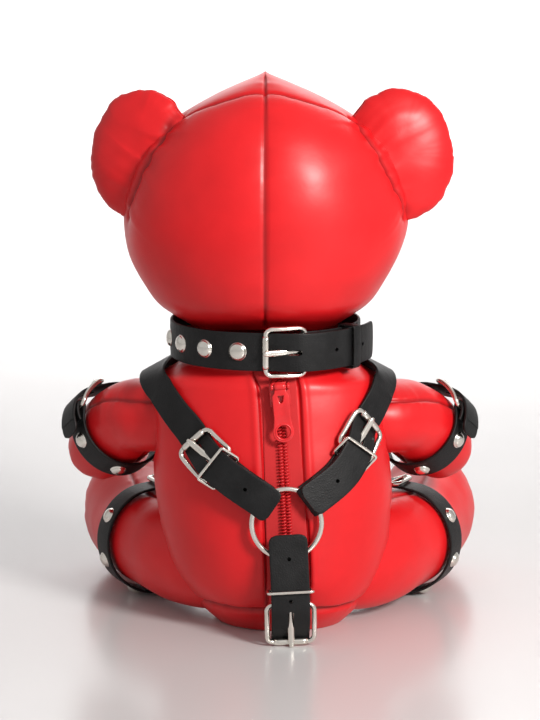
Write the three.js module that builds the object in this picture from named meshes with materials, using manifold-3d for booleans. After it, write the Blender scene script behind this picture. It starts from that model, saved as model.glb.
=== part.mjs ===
// A seated stuffed bear in red faux leather, with a zip down its back and a black buckled harness.
// Millimetres, +Z up. The origin is the middle of the flat seat. The bear faces +Y, and +X is its right.
import * as THREE from "three";
import { mergeVertices } from "three/addons/utils/BufferGeometryUtils.js";
import Module from "manifold-3d";

const wasm = await Module();
wasm.setup();

// ---------------------------------------------------------------- driving dimensions
const SIDES = { left: -1, right: 1 }; // as seen from behind: left is -X
const LEAN = 0.05; // the trunk leans to -X by this share of the height
const NECK_Z = 147; // top of the trunk, where the head is sewn on
const BACK_TURN = 5.5; // the zip sits this many degrees round from the middle of the back
const COVER = 3; // faux leather with its wadding backing
const FIT_GAP = 0.4; // between a cover and its stuffing
const CUT_GAP = 0.35; // between a piece and the neighbour that it is cut by
const SWING_GAP = 2; // between an arm and the trunk that it turns against
const SPLAY_GAP = 1.2; // the same for a leg
const AROUND = 20; // facets round the trunk and head
const LIMB_AROUND = 14; // facets round a limb

const STRAP = 1.4; // strap thickness
const LIFT = 0.4; // of a strap off what it lies on
const BAR = 0.9; // radius of a buckle's bars
const HEEL_N = 3; // height of a buckle's heel bar and of the rings' wire over the skin
const ROLLER_N = 3.6; // height of its roller
const ROLLER_OUT = 1.65; // outside radius of the tube that turns on it
const FRAME = 18; // from roller to heel bar
const BELT_CLEAR = 1.4; // a limb's belt stands this far off its skin
const EYE_R = 2.6; // outside of the fold round a bar
const KEEPER_AT = 5.2; // where a shoulder strap's wire keeper passes through its tab, past the heel bar
const KEEPER_LOW = 2.7; // height of that lower bar
const TAIL_N = 6.6; // height of the tail where it crosses the heel bar's fold
const PIN_R = 0.75; // prong
const WIRE = 0.7; // radius of a wire keeper
const HOLE_R = 0.9; // punched hole in a tail

const RING_WIRE = 1.3;
const RING_N = 2; // height of the middle of a ring's wire over the skin under its centre
const HEEL_EYE = { past: 0, at: 0, long: 1.4, high: 1.45, n: HEEL_N }; // room for a heel bar
// Room for the curve of a ring.
const RING_EYE = { past: 2, at: 0.9, long: 2.7, high: 1.75, n: HEEL_N + 0.35 };

const spineX = (z) => -LEAN * Math.min(z, NECK_Z);
const radians = THREE.MathUtils.degToRad;
const vec = (x, y, z) => new THREE.Vector3(x, y, z);

// ---------------------------------------------------------------- materials
const finish = (color, roughness, metalness = 0) =>
  new THREE.MeshStandardMaterial({ color, roughness, metalness });
const RED = finish(0xd8141c, 0.38);
const BLACK = finish(0x1b1b1c, 0.55);
const STEEL = finish(0xd8d4cc, 0.28, 1);
const RED_PAINT = finish(0xd2202a, 0.35);
const RED_ZIP = finish(0xd42a2a, 0.45);
const FIBRE = finish(0xf2f0ea, 0.95);
const GLOSS_BLACK = finish(0x0a0a0a, 0.15);

const bear = new THREE.Group();
function addPiece(name, geometry, material) {
  const mesh = new THREE.Mesh(geometry, material);
  mesh.name = name;
  bear.add(mesh);
}

// ---------------------------------------------------------------- joins and cuts
function toSolid(geometry) {
  const bare = new THREE.BufferGeometry().setAttribute("position", geometry.getAttribute("position"));
  if (geometry.index) bare.setIndex(geometry.index);
  const merged = mergeVertices(bare, 1e-4);
  const vertProperties = new Float32Array(merged.attributes.position.array);
  const triVerts = new Uint32Array(merged.index.array);
  return new wasm.Manifold(new wasm.Mesh({ numProp: 3, vertProperties, triVerts }));
}

function toGeometry(solid) {
  const { vertProperties, triVerts } = solid.getMesh();
  const geometry = new THREE.BufferGeometry();
  geometry.setAttribute("position", new THREE.BufferAttribute(new Float32Array(vertProperties), 3));
  geometry.setIndex(new THREE.BufferAttribute(new Uint32Array(triVerts), 1));
  return geometry;
}

const cut = (geometry, ...cutters) =>
  toGeometry(cutters.reduce((solid, cutter) => solid.subtract(toSolid(cutter)), toSolid(geometry)));
const join = (geometry, ...others) =>
  toGeometry(others.reduce((solid, other) => solid.add(toSolid(other)), toSolid(geometry)));
const box = (sx, sy, sz, at) => new THREE.BoxGeometry(sx, sy, sz).translate(at.x, at.y, at.z);

// ---------------------------------------------------------------- smooth tables
// rows are [x, value, value, ...] with x rising; a cubic through them gives the values at any x.
function along(rows, x) {
  const last = rows.length - 1;
  const i = Math.min(Math.max(rows.findIndex((row) => row[0] > x) - 1, 0), last - 1);
  const k = x >= rows[last][0] ? last - 1 : i;
  const [a, b] = [rows[k], rows[k + 1]];
  const span = b[0] - a[0];
  const t = (x - a[0]) / span;
  const slope = (p, q, column) => (q[column] - p[column]) / (q[0] - p[0]);
  return a.slice(1).map((_, c) => {
    const column = c + 1;
    const middle = slope(a, b, column);
    const before = k > 0 ? (slope(rows[k - 1], a, column) + middle) / 2 : middle;
    const after = k + 2 <= last ? (slope(b, rows[k + 2], column) + middle) / 2 : middle;
    const [t2, t3] = [t * t, t * t * t];
    return (2 * t3 - 3 * t2 + 1) * a[column] + (t3 - 2 * t2 + t) * span * before +
      (3 * t2 - 2 * t3) * b[column] + (t3 - t2) * span * after;
  });
}

// ---------------------------------------------------------------- stuffed bodies
// A skin is a list of rings from its sewn-on open end to its tip, and one point that closes the tip.
function skinGeometry({ rings, tip }, offset = 0) {
  const n = rings[0].length;
  const points = [...rings.flat(), tip];
  const index = [];
  for (let i = 0; i + 1 < rings.length; i++)
    for (let j = 0; j < n; j++) {
      const k = (j + 1) % n;
      index.push(i * n + j, i * n + k, (i + 1) * n + k, i * n + j, (i + 1) * n + k, (i + 1) * n + j);
    }
  const end = (rings.length - 1) * n;
  for (let j = 0; j < n; j++) index.push(end + j, end + ((j + 1) % n), points.length - 1);
  const geometry = new THREE.BufferGeometry().setFromPoints(points).setIndex(index);
  geometry.computeVertexNormals();
  const normals = geometry.getAttribute("normal");
  const moved = points.map((p, i) => {
    const normal = vec(0, 0, 0).fromBufferAttribute(normals, i);
    return p.clone().addScaledVector(normal, offset);
  });
  return { n, index, points: moved };
}

function closedSkin(skin, offset) {
  const { n, index, points } = skinGeometry(skin, offset);
  const middle = points.slice(0, n).reduce((sum, p) => sum.add(p), vec(0, 0, 0)).divideScalar(n);
  const cap = Array.from({ length: n }, (_, j) => [points.length, (j + 1) % n, j]).flat();
  return new THREE.BufferGeometry().setFromPoints([...points, middle]).setIndex([...index, ...cap]);
}

function coverOf(skin) {
  const outer = skinGeometry(skin);
  const inner = skinGeometry(skin, -COVER);
  const shift = outer.points.length;
  const lining = inner.index.map((_, i, all) => shift + all[i - (i % 3) + 2 - (i % 3)]);
  const rim = Array.from({ length: outer.n }, (_, j) => {
    const k = (j + 1) % outer.n;
    return [j, shift + j, shift + k, j, shift + k, k];
  }).flat();
  const points = [...outer.points, ...inner.points];
  return new THREE.BufferGeometry().setFromPoints(points).setIndex([...outer.index, ...lining, ...rim]);
}

const stuffingOf = (skin) => closedSkin(skin, -(COVER + FIT_GAP));

function ring(centre, across, up, a, b, count) {
  return Array.from({ length: count }, (_, j) => {
    const angle = (2 * Math.PI * j) / count;
    return centre.clone().addScaledVector(across, a * Math.cos(angle)).addScaledVector(up, b * Math.sin(angle));
  });
}

// ---------------------------------------------------------------- trunk
// height, half width, half depth
const TRUNK = [
  [0, 33, 31], [8, 42, 40], [22, 52, 48.5], [40, 58, 53], [60, 60, 54], [80, 60.5, 52], [100, 60.3, 48.5],
  [112, 60.3, 46.5], [119, 59, 45.3], [124, 56, 44.7], [128, 48.2, 43.2], [131, 43, 42.1], [134, 42.3, 42],
  [NECK_Z, 42, 41],
];
const TRUNK_RINGS = [NECK_Z, 135, 129, 122, 112, 96, 78, 60, 42, 25, 12, 4, 0];

function trunkPoint(degrees, z) {
  const [a, b] = along(TRUNK, z);
  return vec(spineX(z) + a * Math.cos(radians(degrees)), b * Math.sin(radians(degrees)), z);
}

function trunkNormal(degrees, z) {
  const round = trunkPoint(degrees + 1, z).sub(trunkPoint(degrees - 1, z));
  const rise = trunkPoint(degrees, z + 0.5).sub(trunkPoint(degrees, z - 0.5));
  return round.cross(rise).normalize();
}

const trunkSkin = {
  rings: TRUNK_RINGS.map((z) => {
    const [a, b] = along(TRUNK, z);
    return ring(vec(spineX(z), 0, z), vec(1, 0, 0), vec(0, -1, 0), a, b, AROUND);
  }),
  tip: vec(0, 0, 0),
};

// ---------------------------------------------------------------- head
const HEAD_X = spineX(NECK_Z);
// height, half width, half depth, forward shift
const HEAD = [
  [149, 35, 34, 0], [152, 40, 39, 0], [155, 45, 44, 0], [160, 52, 50, 0], [170, 59.5, 56, 1], [185, 67.5, 60, 2],
  [201, 71, 62, 3], [217, 69.5, 60.5, 3], [232, 63.5, 56.5, 2], [245, 53, 50, 1], [254.5, 41, 42, 0],
  [260.5, 30.5, 36, 0], [265.5, 21, 28, 0], [270.5, 10.5, 18, 0], [274, 3, 7, 0],
];
const HEAD_RINGS = [149, 153, 160, 172, 187, 201, 216, 231, 244, 254.5, 263.5, 270];
const HEAD_TOP = 275;

// Each ear is an ellipsoid of these half sizes, turned towards the front and sunk into the head.
const EAR = { size: [29, 10, 33.5], forward: -3, z: 233, nod: -4 };
const EAR_SIDE = { left: { out: 60, yaw: -24 }, right: { out: 65.5, yaw: 8 } };
const MUZZLE = { size: [26, 22, 19], forward: 61, z: 181 };
const NOSE = { size: [9, 5, 6.5], forward: 80, z: 190 };
const EYE = { size: [5.5, 4, 5.5], out: 24, forward: 60.8, z: 205, yaw: -22 };

const headSkin = {
  rings: HEAD_RINGS.map((z) => {
    const [a, b, forward] = along(HEAD, z);
    return ring(vec(HEAD_X, forward, z), vec(1, 0, 0), vec(0, 1, 0), a, b, AROUND);
  }),
  tip: vec(HEAD_X, 0, HEAD_TOP),
};

function ellipsoid(size, around = 14, rows = 9) {
  return new THREE.SphereGeometry(1, around, rows).scale(...size);
}

function addHead() {
  const clear = closedSkin(headSkin, CUT_GAP);
  addPiece("head_cover", coverOf(headSkin), RED);
  addPiece("head_stuffing", stuffingOf(headSkin), FIBRE);
  const muzzle = (grow) =>
    ellipsoid(MUZZLE.size.map((radius) => radius + grow)).translate(HEAD_X, MUZZLE.forward, MUZZLE.z);
  addPiece("muzzle", cut(muzzle(0), clear), RED);
  const nose = ellipsoid(NOSE.size, 12, 8).translate(HEAD_X, NOSE.forward, NOSE.z);
  addPiece("nose", cut(nose, muzzle(CUT_GAP)), BLACK);
  for (const [side, sign] of Object.entries(SIDES)) {
    const eye = ellipsoid(EYE.size, 12, 8).rotateZ(radians(sign * EYE.yaw));
    addPiece(`eye_${side}`, cut(eye.translate(HEAD_X + sign * EYE.out, EYE.forward, EYE.z), clear), GLOSS_BLACK);
    const { out, yaw } = EAR_SIDE[side];
    const ear = ellipsoid(EAR.size, 16, 9).rotateX(radians(EAR.nod)).rotateZ(radians(yaw));
    addPiece(`ear_${side}`, cut(ear.translate(HEAD_X + sign * out, EAR.forward, EAR.z), clear), RED);
  }
}

// ---------------------------------------------------------------- limbs
// A limb's rows are x, y, z, half width, half height from inside the trunk to the tip, for the right side.
const ARM = [
  [40, 3, 102, 19, 18], [57, 6, 101.5, 20, 18.5], [69, 16, 99.5, 20, 19], [78.5, 30, 91, 20.3, 20.3],
  [86.5, 41, 81, 19.3, 19], [90.5, 48, 74.5, 16.8, 16.5], [92.5, 52, 70.5, 11, 11],
];
const ARM_TIP = [93.5, 54, 68.5];
const LEG = [
  [20, -9, 30, 24, 24], [34, 1, 30, 27, 27], [47, 15, 30, 28, 27.5], [57.5, 30, 30, 26.7, 26.3],
  [67, 45, 30, 25.5, 25.5], [73, 62, 30.5, 25.3, 26.2], [78, 82, 32, 26, 29.5],
  [81.5, 98, 33.7, 26.3, 33], [83.5, 108, 33.9, 25, 31.5], [84.3, 113, 34.2, 18, 24],
];
const LEG_TIP = [84.8, 114.5, 34.2];

class Limb {
  constructor(rows, tip, sign, shift) {
    const place = ([x, y, z]) => vec(sign * x + shift, y, z);
    this.middle = rows.map(place);
    this.radii = rows.map((row) => [row[3], row[4]]);
    this.tip = place(tip);
    const ends = [...this.middle, this.tip];
    this.along = this.middle.map((p, i) => ends[i + 1].clone().sub(ends[Math.max(i - 1, 0)]).normalize());
  }

  frame(i) {
    const across = this.along[i].clone().cross(vec(0, 0, 1)).normalize();
    return { across, up: across.clone().cross(this.along[i]).normalize() };
  }

  skin() {
    const rings = this.middle.map((centre, i) => {
      const { across, up } = this.frame(i);
      const [a, b] = this.radii[i];
      return ring(centre, across, up.clone().negate(), a, b, LIMB_AROUND);
    });
    return { rings, tip: this.tip };
  }
}

const FLOOR_CUT = box(400, 400, 60, vec(0, 0, -30));

function addLimb(name, limb, gap) {
  const trunk = closedSkin(trunkSkin, gap);
  const skin = limb.skin();
  addPiece(`${name}_cover`, cut(coverOf(skin), trunk, FLOOR_CUT), RED);
  addPiece(`${name}_stuffing`, cut(stuffingOf(skin), closedSkin(trunkSkin, gap + 0.5), FLOOR_CUT), FIBRE);
}

// ---------------------------------------------------------------- routes
// A strap, its buckle and its rings are laid out flat: s along the strap, v across it, n up from the skin.
// A route bends that flat layout onto the bear.
class Route {
  constructor(points, normals, closed = false) {
    this.points = points;
    this.normals = normals;
    this.closed = closed;
    this.lengths = [0];
    for (let i = 1; i < points.length; i++) {
      this.lengths.push(this.lengths[i - 1] + points[i].distanceTo(points[i - 1]));
    }
    this.total = this.lengths[this.lengths.length - 1];
  }

  at(s) {
    const wrapped = this.closed ? ((s % this.total) + this.total) % this.total : s;
    const found = this.lengths.findIndex((length) => length > wrapped);
    const i = found < 0 ? this.points.length - 2 : Math.max(found - 1, 0);
    const t = (wrapped - this.lengths[i]) / (this.lengths[i + 1] - this.lengths[i]);
    const blend = Math.min(Math.max(t, 0), 1);
    const point = this.points[i].clone().lerp(this.points[i + 1], t);
    const direction = this.heading(i).lerp(this.heading(i + 1), blend).normalize();
    const rough = this.normals[i].clone().lerp(this.normals[i + 1], blend);
    const across = rough.cross(direction).normalize();
    return { point, direction, across, normal: direction.clone().cross(across).normalize() };
  }

  heading(i) {
    const last = this.points.length - 1;
    const before = i > 0 ? i - 1 : this.closed ? last - 1 : 0;
    const after = i < last ? i + 1 : this.closed ? 1 : last;
    return this.points[after].clone().sub(this.points[before]).normalize();
  }

  bend(geometry) {
    const bent = geometry.clone();
    const position = bent.getAttribute("position");
    for (let i = 0; i < position.count; i++) {
      const { point, across, normal } = this.at(position.getX(i));
      point.addScaledVector(across, position.getY(i)).addScaledVector(normal, position.getZ(i));
      position.setXYZ(i, point.x, point.y, point.z);
    }
    return bent;
  }
}

// A profile in (s, n), drawn as points, made `width` wide across v.
function profileSolid(points, width, holes = []) {
  const shape = new THREE.Shape(points.map(([s, n]) => new THREE.Vector2(s, n)));
  shape.holes = holes.map((rim) => new THREE.Path(rim.map(([s, n]) => new THREE.Vector2(s, n))));
  const solid = new THREE.ExtrudeGeometry(shape, { depth: width, bevelEnabled: false });
  return solid.translate(0, 0, -width / 2).rotateX(Math.PI / 2);
}

// A line of (s, n) points made into a band of this thickness and width.
function band(line, thickness, width) {
  const points = line.flatMap(([s, n], i) => {
    const [s0, n0] = line[Math.max(i - 1, 0)];
    const [s1, n1] = line[Math.min(i + 1, line.length - 1)];
    const half = thickness / 2 / Math.hypot(s1 - s0, n1 - n0);
    const [ds, dn] = [-half * (n1 - n0), half * (s1 - s0)];
    const corners = [[1, -1], [1, 1], [-1, 1], [-1, -1]];
    return corners.map(([face, edge]) => vec(s + face * ds, (edge * width) / 2, n + face * dn));
  });
  const index = [0, 1, 2, 0, 2, 3];
  for (let i = 0; i + 1 < line.length; i++)
    for (let k = 0; k < 4; k++) {
      const [a, b] = [4 * i + k, 4 * i + ((k + 1) % 4)];
      index.push(a, a + 4, b + 4, a, b + 4, b);
    }
  const end = 4 * (line.length - 1);
  index.push(end, end + 2, end + 1, end, end + 3, end + 2);
  return new THREE.BufferGeometry().setFromPoints(points).setIndex(index);
}

const oval = (s, n, long, high, count = 12) =>
  Array.from({ length: count }, (_, i) => {
    const angle = (-2 * Math.PI * i) / count;
    return [s + long * Math.cos(angle), n + high * Math.sin(angle)];
  });

const arc = (s, n, radius, from, to, steps) =>
  Array.from({ length: steps + 1 }, (_, i) => {
    const angle = radians(from + ((to - from) * i) / steps);
    return [s + radius * Math.cos(angle), n + radius * Math.sin(angle)];
  });

// ---------------------------------------------------------------- strap pieces, flat
const BASE_N = LIFT + STRAP / 2;
const LAY_STEP = 6;

// The tail's height above the skin at distances past the roller, and from there to the tip.
const climb = (tail, flare) => [
  [0, BASE_N], [3.5, 1.9], [7.5, 3.5], [12, 5.4], [15.5, 6.4], [FRAME, TAIL_N], [FRAME + 3.5, TAIL_N],
  [FRAME + KEEPER_AT + 2, TAIL_N - 0.1], [FRAME + tail * 0.5, TAIL_N - 0.2 + flare * 0.2],
  [FRAME + tail * 0.75, TAIL_N - 0.4 + flare * 0.5], [FRAME + tail, TAIL_N - 0.5 + flare],
];

function eyeProfile({ past }, doubled) {
  const [bottom, top] = [LIFT, LIFT + 2 * STRAP + 0.2];
  return [...arc(-past, HEEL_N, EYE_R, 70, 270, 6), [doubled + 3, bottom], [doubled, top], [5, top + 1.2]];
}

// What a ring clears where it passes through leather.
const ringClear = (ringAt) => ringOn(ringAt, RING_WIRE + 0.5);

const eyeHole = ({ at, n, long, high }, width) => profileSolid(oval(-at, n, long, high), width + 2);

// A strap with an eye at s = 0, its roller at s = reach and a tail past the buckle.
function buckleStrap(route, { width, reach, tail, flare = 0, eye, ring, pinSlot = false, holes = [] }) {
  const steps = Math.round(reach / LAY_STEP);
  const lay = Array.from({ length: steps }, (_, i) => [2 + ((reach - 4) * i) / steps, BASE_N]);
  const line = [...lay, ...climb(tail, flare).map(([s, n]) => [reach + s, n])];
  let strap = route.bend(band(line, STRAP, width));
  if (eye) strap = join(strap, route.bend(profileSolid(eyeProfile(eye, 9), width)));
  const cutters = eye ? [route.bend(eyeHole(eye, width))] : [];
  if (pinSlot) cutters.push(route.bend(box(5.6, 3, 7, vec(-0.6, 0, HEEL_N))));
  cutters.push(route.bend(box(13.2, 3, 6, vec(reach + FRAME - 8.9, 0, 4.6))));
  if (ring) cutters.push(ringClear(ring));
  for (const s of holes) {
    const punch = new THREE.CylinderGeometry(HOLE_R, HOLE_R, 8, 8).rotateX(Math.PI / 2);
    cutters.push(route.bend(punch.translate(reach + FRAME + s, 0, TAIL_N - 0.2)));
  }
  return cut(strap, ...cutters);
}

// A strap with an eye at s = 0 that lies on the skin to its sewn-down end.
function plainStrap(route, width) {
  const lay = Array.from({ length: 9 }, (_, i) => [2 + ((route.total - 2) * i) / 8, BASE_N]);
  const eye = profileSolid(eyeProfile(RING_EYE, 9), width);
  const strap = join(route.bend(band(lay, STRAP, width)), route.bend(eye));
  return cut(strap, route.bend(eyeHole(RING_EYE, width)), ringClear(RING_CHEST));
}

// A doubled tab from a heel bar at s = heel to a ring at s = ringAt, whose eye is long enough for its curve.
function ringTab(route, { width, heel, keeper, ringAt }) {
  const [bottom, top] = [LIFT, LIFT + 2 * STRAP + 0.2];
  const dip = ringAt - keeper > 12 ? [[keeper + 4.5, top]] : [];
  const outline = [
    ...arc(heel, HEEL_N, EYE_R, 270, 90, 6), [keeper + 2, HEEL_N + 2.2], ...dip,
    ...arc(ringAt + RING_EYE.past, HEEL_N, EYE_R, 90, -90, 6), [ringAt - 3.5, bottom + 0.1],
    [(heel + ringAt) / 2, bottom], [heel + 4, bottom + 0.1],
  ];
  const holes = [
    oval(heel, HEEL_N, 1.4, 1.4), oval(keeper, KEEPER_LOW, WIRE + 0.45, WIRE + 0.45),
    oval(ringAt + RING_EYE.at, RING_EYE.n, RING_EYE.long, RING_EYE.high),
  ];
  const tab = route.bend(profileSolid(outline.reverse(), width, holes));
  return cut(tab, route.bend(box(5.6, 3, 7, vec(heel - 0.4, 0, HEEL_N))), ringClear(RING_BACK));
}

// ---------------------------------------------------------------- buckle hardware, flat
// A flat loop of wire between centre lines length by width, tilted along the strap.
function wireLoop(length, width, radius, corner, tilt) {
  const rounded = (shape, x, y, c) => {
    shape.moveTo(-x + c, -y).lineTo(x - c, -y).quadraticCurveTo(x, -y, x, -y + c);
    shape.lineTo(x, y - c).quadraticCurveTo(x, y, x - c, y).lineTo(-x + c, y);
    return shape.quadraticCurveTo(-x, y, -x, y - c).lineTo(-x, -y + c).quadraticCurveTo(-x, -y, -x + c, -y);
  };
  const [x, y] = [length / 2, width / 2];
  const loop = rounded(new THREE.Shape(), x + radius, y + radius, corner + radius);
  loop.holes = [rounded(new THREE.Path(), x - radius, y - radius, Math.max(corner - radius, 0.3))];
  const wire = new THREE.ExtrudeGeometry(loop, { depth: 2 * radius, bevelEnabled: false, curveSegments: 3 });
  return wire.translate(0, 0, -radius).rotateY(tilt);
}

// Its bars are at s = roller and s = roller + FRAME, the roller's a little higher.
function buckleFrame(route, { width, roller }) {
  const inside = width + 2.4;
  const tilt = Math.atan2(ROLLER_N - HEEL_N, FRAME);
  const flat = wireLoop(FRAME, inside + 2 * BAR, BAR, 3, tilt);
  return route.bend(flat.translate(roller + FRAME / 2, 0, (ROLLER_N + HEEL_N) / 2));
}

function buckleRoller(route, { width, roller }) {
  const bore = BAR * Math.SQRT2 + 0.17;
  const half = (width - 2.6) / 2;
  const wall = [[bore, -half], [ROLLER_OUT, -half], [ROLLER_OUT, half], [bore, half], [bore, -half]];
  const tube = new THREE.LatheGeometry(wall.map(([x, y]) => new THREE.Vector2(x, y)), 12);
  return rigid(route, roller, tube.translate(roller, 0, ROLLER_N));
}

// A prong that loops round the heel bar and rests on the roller, or on the bare bar of a buckle without one.
function buckleProng(route, { roller, bare }) {
  const heel = roller + FRAME;
  const rest = bare ? BAR + 0.5 : ROLLER_OUT;
  const [there, here] = [route.at(roller), route.at(heel)];
  const span = there.point.addScaledVector(there.normal, ROLLER_N + rest + PIN_R + 0.3);
  span.sub(here.point).addScaledVector(here.normal, -HEEL_N);
  const angle = Math.atan2(span.dot(here.normal), -span.dot(here.direction));
  const reach = span.length() + 1.4;
  const eye = new THREE.CylinderGeometry(2.15, 2.15, 2.2, 12).translate(heel, 0, HEEL_N);
  const hole = new THREE.CylinderGeometry(1.42, 1.42, 4, 12).translate(heel, 0, HEEL_N);
  const pin = box(reach - 1.2, 1.7, 2 * PIN_R, vec(-(reach + 1.2) / 2, 0, 0));
  pin.rotateY(angle).translate(heel, 0, HEEL_N);
  return rigid(route, heel, cut(join(eye, pin), hole));
}

// Placed as a rigid piece in the tangent plane at s, rather than bent.
function rigid(route, s, flat) {
  const { point, direction, across, normal } = route.at(s);
  const matrix = new THREE.Matrix4().makeBasis(direction, across, normal).setPosition(point);
  return flat.clone().translate(-s, 0, 0).applyMatrix4(matrix);
}

// A wire loop: its lower bar goes through the tab, and its upper one, `lean` nearer the roller, holds the tail.
function wireKeeper(route, { width, at, lean }) {
  const high = TAIL_N + STRAP / 2 + WIRE + 0.65;
  const rise = high - KEEPER_LOW;
  const tilt = Math.PI / 2 - Math.atan2(lean, rise);
  const loop = wireLoop(Math.hypot(rise, lean), width + 2 * WIRE + 1.5, WIRE, 1.2, tilt);
  return rigid(route, at, loop.translate(at - lean / 2, 0, KEEPER_LOW + rise / 2));
}

function leatherKeeper(route, { width, at, low, high }) {
  const wall = 0.9;
  const outside = box(7, width + 2 * wall + 0.8, high - low + 2 * wall, vec(at, 0, (low + high) / 2));
  const inside = box(9, width + 0.8, high - low, vec(at, 0, (low + high) / 2));
  return rigid(route, at, cut(outside, inside));
}

function addBuckle(name, route, size) {
  addPiece(`${name}_buckle_frame`, buckleFrame(route, size), STEEL);
  if (!size.bare) addPiece(`${name}_roller`, buckleRoller(route, size), STEEL);
  addPiece(`${name}_prong`, buckleProng(route, size), STEEL);
}

// ---------------------------------------------------------------- belts round the neck and limbs
function loopRoute(centre, across, up, a, b, startDegrees, turn) {
  const steps = 72;
  const [points, normals] = [[], []];
  for (let i = 0; i <= steps; i++) {
    const angle = radians(startDegrees) + (turn * 2 * Math.PI * i) / steps;
    const [c, s] = [Math.cos(angle), Math.sin(angle)];
    points.push(centre.clone().addScaledVector(across, a * c).addScaledVector(up, b * s));
    normals.push(across.clone().multiplyScalar(c / a).addScaledVector(up, s / b).normalize());
  }
  return new Route(points, normals, true);
}

const COLLAR = { width: 18.5, radius: 45.6, centreZ: 143.4, tiltDegrees: 2.5, heelDegrees: 293, tail: 46 };
const COLLAR_KEEPER = { at: 25, low: 0.1, high: 8.6 };

function addCollar() {
  const { width, radius, centreZ, tiltDegrees, heelDegrees, tail } = COLLAR;
  const forward = vec(0, Math.cos(radians(tiltDegrees)), Math.sin(radians(tiltDegrees)));
  const centre = vec(spineX(NECK_Z), 0, centreZ);
  const route = loopRoute(centre, vec(1, 0, 0), forward, radius, radius, heelDegrees, 1);
  const reach = route.total - FRAME;
  const strap = buckleStrap(route, { width, reach, tail, flare: 1.6, eye: HEEL_EYE, pinSlot: true, holes: [32] });
  addPiece("collar_strap", strap, BLACK);
  addBuckle("collar", route, { width, roller: reach });
  addPiece("collar_keeper", leatherKeeper(route, { width, ...COLLAR_KEEPER }), BLACK);
}

// `turn` is 1 where the tail points to the inner side over the top, and -1 where it points to the outer side.
const CUFF = { width: 14.5, heelDegrees: 30, tail: 12, row: 3, turn: -1 };
const GARTER = { width: 15, heelDegrees: 130, tail: 11, row: 4, turn: 1 };

function addLimbBelt(name, limb, sign, { width, heelDegrees, tail, row, turn }) {
  const { across, up } = limb.frame(row);
  const [a, b] = limb.radii[row].map((r) => r + BELT_CLEAR);
  const start = sign > 0 ? heelDegrees : 180 - heelDegrees;
  const route = loopRoute(limb.middle[row], across, up, a, b, start, sign * turn);
  const reach = route.total - FRAME;
  addPiece(`${name}_strap`, buckleStrap(route, { width, reach, tail, eye: HEEL_EYE, pinSlot: true }), BLACK);
  addBuckle(name, route, { width, roller: reach, bare: true });
}

// ---------------------------------------------------------------- harness
const RING_BACK = { degrees: 270 + BACK_TURN, z: 60, radius: 16.7 };
const RING_CHEST = { degrees: 90, z: 86, radius: 15 };
const HARNESS_WIDTH = 16.5;

function trunkRoute(rows) {
  const STEP = 1 / 60;
  const [points, normals] = [[], []];
  const table = rows.map((row, i) => [i, ...row]);
  for (let t = 0; t <= rows.length - 1 + 1e-9; t += STEP) {
    const [degrees, z, lift] = along(table, Math.min(t, rows.length - 1));
    const normal = trunkNormal(degrees, z);
    points.push(trunkPoint(degrees, z).addScaledVector(normal, lift));
    normals.push(normal);
  }
  return new Route(points, normals);
}

// The wire of a ring lies in the tangent plane of the skin.
function ringOn({ degrees, z, radius }, wire = RING_WIRE) {
  const normal = trunkNormal(degrees, z);
  const matrix = new THREE.Matrix4().lookAt(normal, vec(0, 0, 0), vec(0, 0, 1));
  const centre = trunkPoint(degrees, z).addScaledVector(normal, RING_N);
  return new THREE.TorusGeometry(radius, wire, 6, 28).applyMatrix4(matrix.setPosition(centre));
}

// Angle, height and lift on the trunk, from the chest ring over the shoulder to the back ring.
const SHOULDER_ROUTE = {
  left: [
    [99.6, 96.6, 0], [112, 107.5, 0.6], [130, 118, 1.6], [153, 123.5, 2.3], [180, 125, 2.4],
    [208, 120.5, 1.6], [227, 106, 0.4], [238, 93.5, 0], [251, 82, 0],
    [RING_BACK.degrees - 10.7, RING_BACK.z + 11.8, 0],
  ],
  right: [
    [79.4, 96.6, 0], [67, 107.5, 0.6], [50, 118, 1.6], [27, 123.5, 2.3], [0, 125, 2.4],
    [-22, 119.5, 1.6], [-40, 105.5, 0.4], [-49, 94, 0], [-58, 82.5, 0],
    [RING_BACK.degrees - 348, RING_BACK.z + 11.8, 0],
  ],
};
const SHOULDER = { width: HARNESS_WIDTH, flare: 1, eye: RING_EYE, ring: RING_CHEST, holes: [17], lean: 8.2 };
const SHOULDER_SIDE = { left: { tab: 25, tail: 33 }, right: { tab: 30, tail: 34 } };
const CROTCH = { width: 18.5, tab: 22.3, tail: 33, flare: 2.4, holes: [2.6, 21.5], keeperAt: 6.8 };

const ZIP = { top: 132, bottom: 24, tapeWidth: 16, teethEnd: 51, teethWidth: 5, sliderZ: 120.5 };
const seamAt = (z, lift = 0) => [RING_BACK.degrees, z, lift];
const CROTCH_ROUTE = [
  seamAt(9.5, 14), seamAt(16, 11), seamAt(24, 7), seamAt(34, 3.5), seamAt(RING_BACK.z - RING_BACK.radius, 0.5),
];
const CHEST_ROUTE = [RING_CHEST.z - RING_CHEST.radius, 50, 25, 7].map((z) => [RING_CHEST.degrees, z, 0]);

// A strap, then its buckle, then a tab to the back ring, which the strap's tail lies over.
function addHarnessStrap(name, route, size) {
  const { width, tab, tail, flare, eye, ring, holes, keeperAt = KEEPER_AT, lean = 0 } = size;
  const toRing = route.total;
  const heel = toRing - tab;
  const reach = heel - FRAME;
  const keeper = heel + keeperAt;
  addPiece(`${name}_strap`, buckleStrap(route, { width, reach, tail, flare, eye, ring, holes }), BLACK);
  addPiece(`${name}_tab`, ringTab(route, { width: width - 0.6, heel, keeper, ringAt: toRing }), BLACK);
  addBuckle(name, route, { width, roller: reach });
  addPiece(`${name}_keeper`, wireKeeper(route, { width, at: keeper, lean }), STEEL);
}

// ---------------------------------------------------------------- zip
function strip(route, width, low, high) {
  const bar = new THREE.BoxGeometry(route.total, width, high - low, 24, 1, 1);
  return route.bend(bar.translate(route.total / 2, 0, (low + high) / 2));
}

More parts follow.
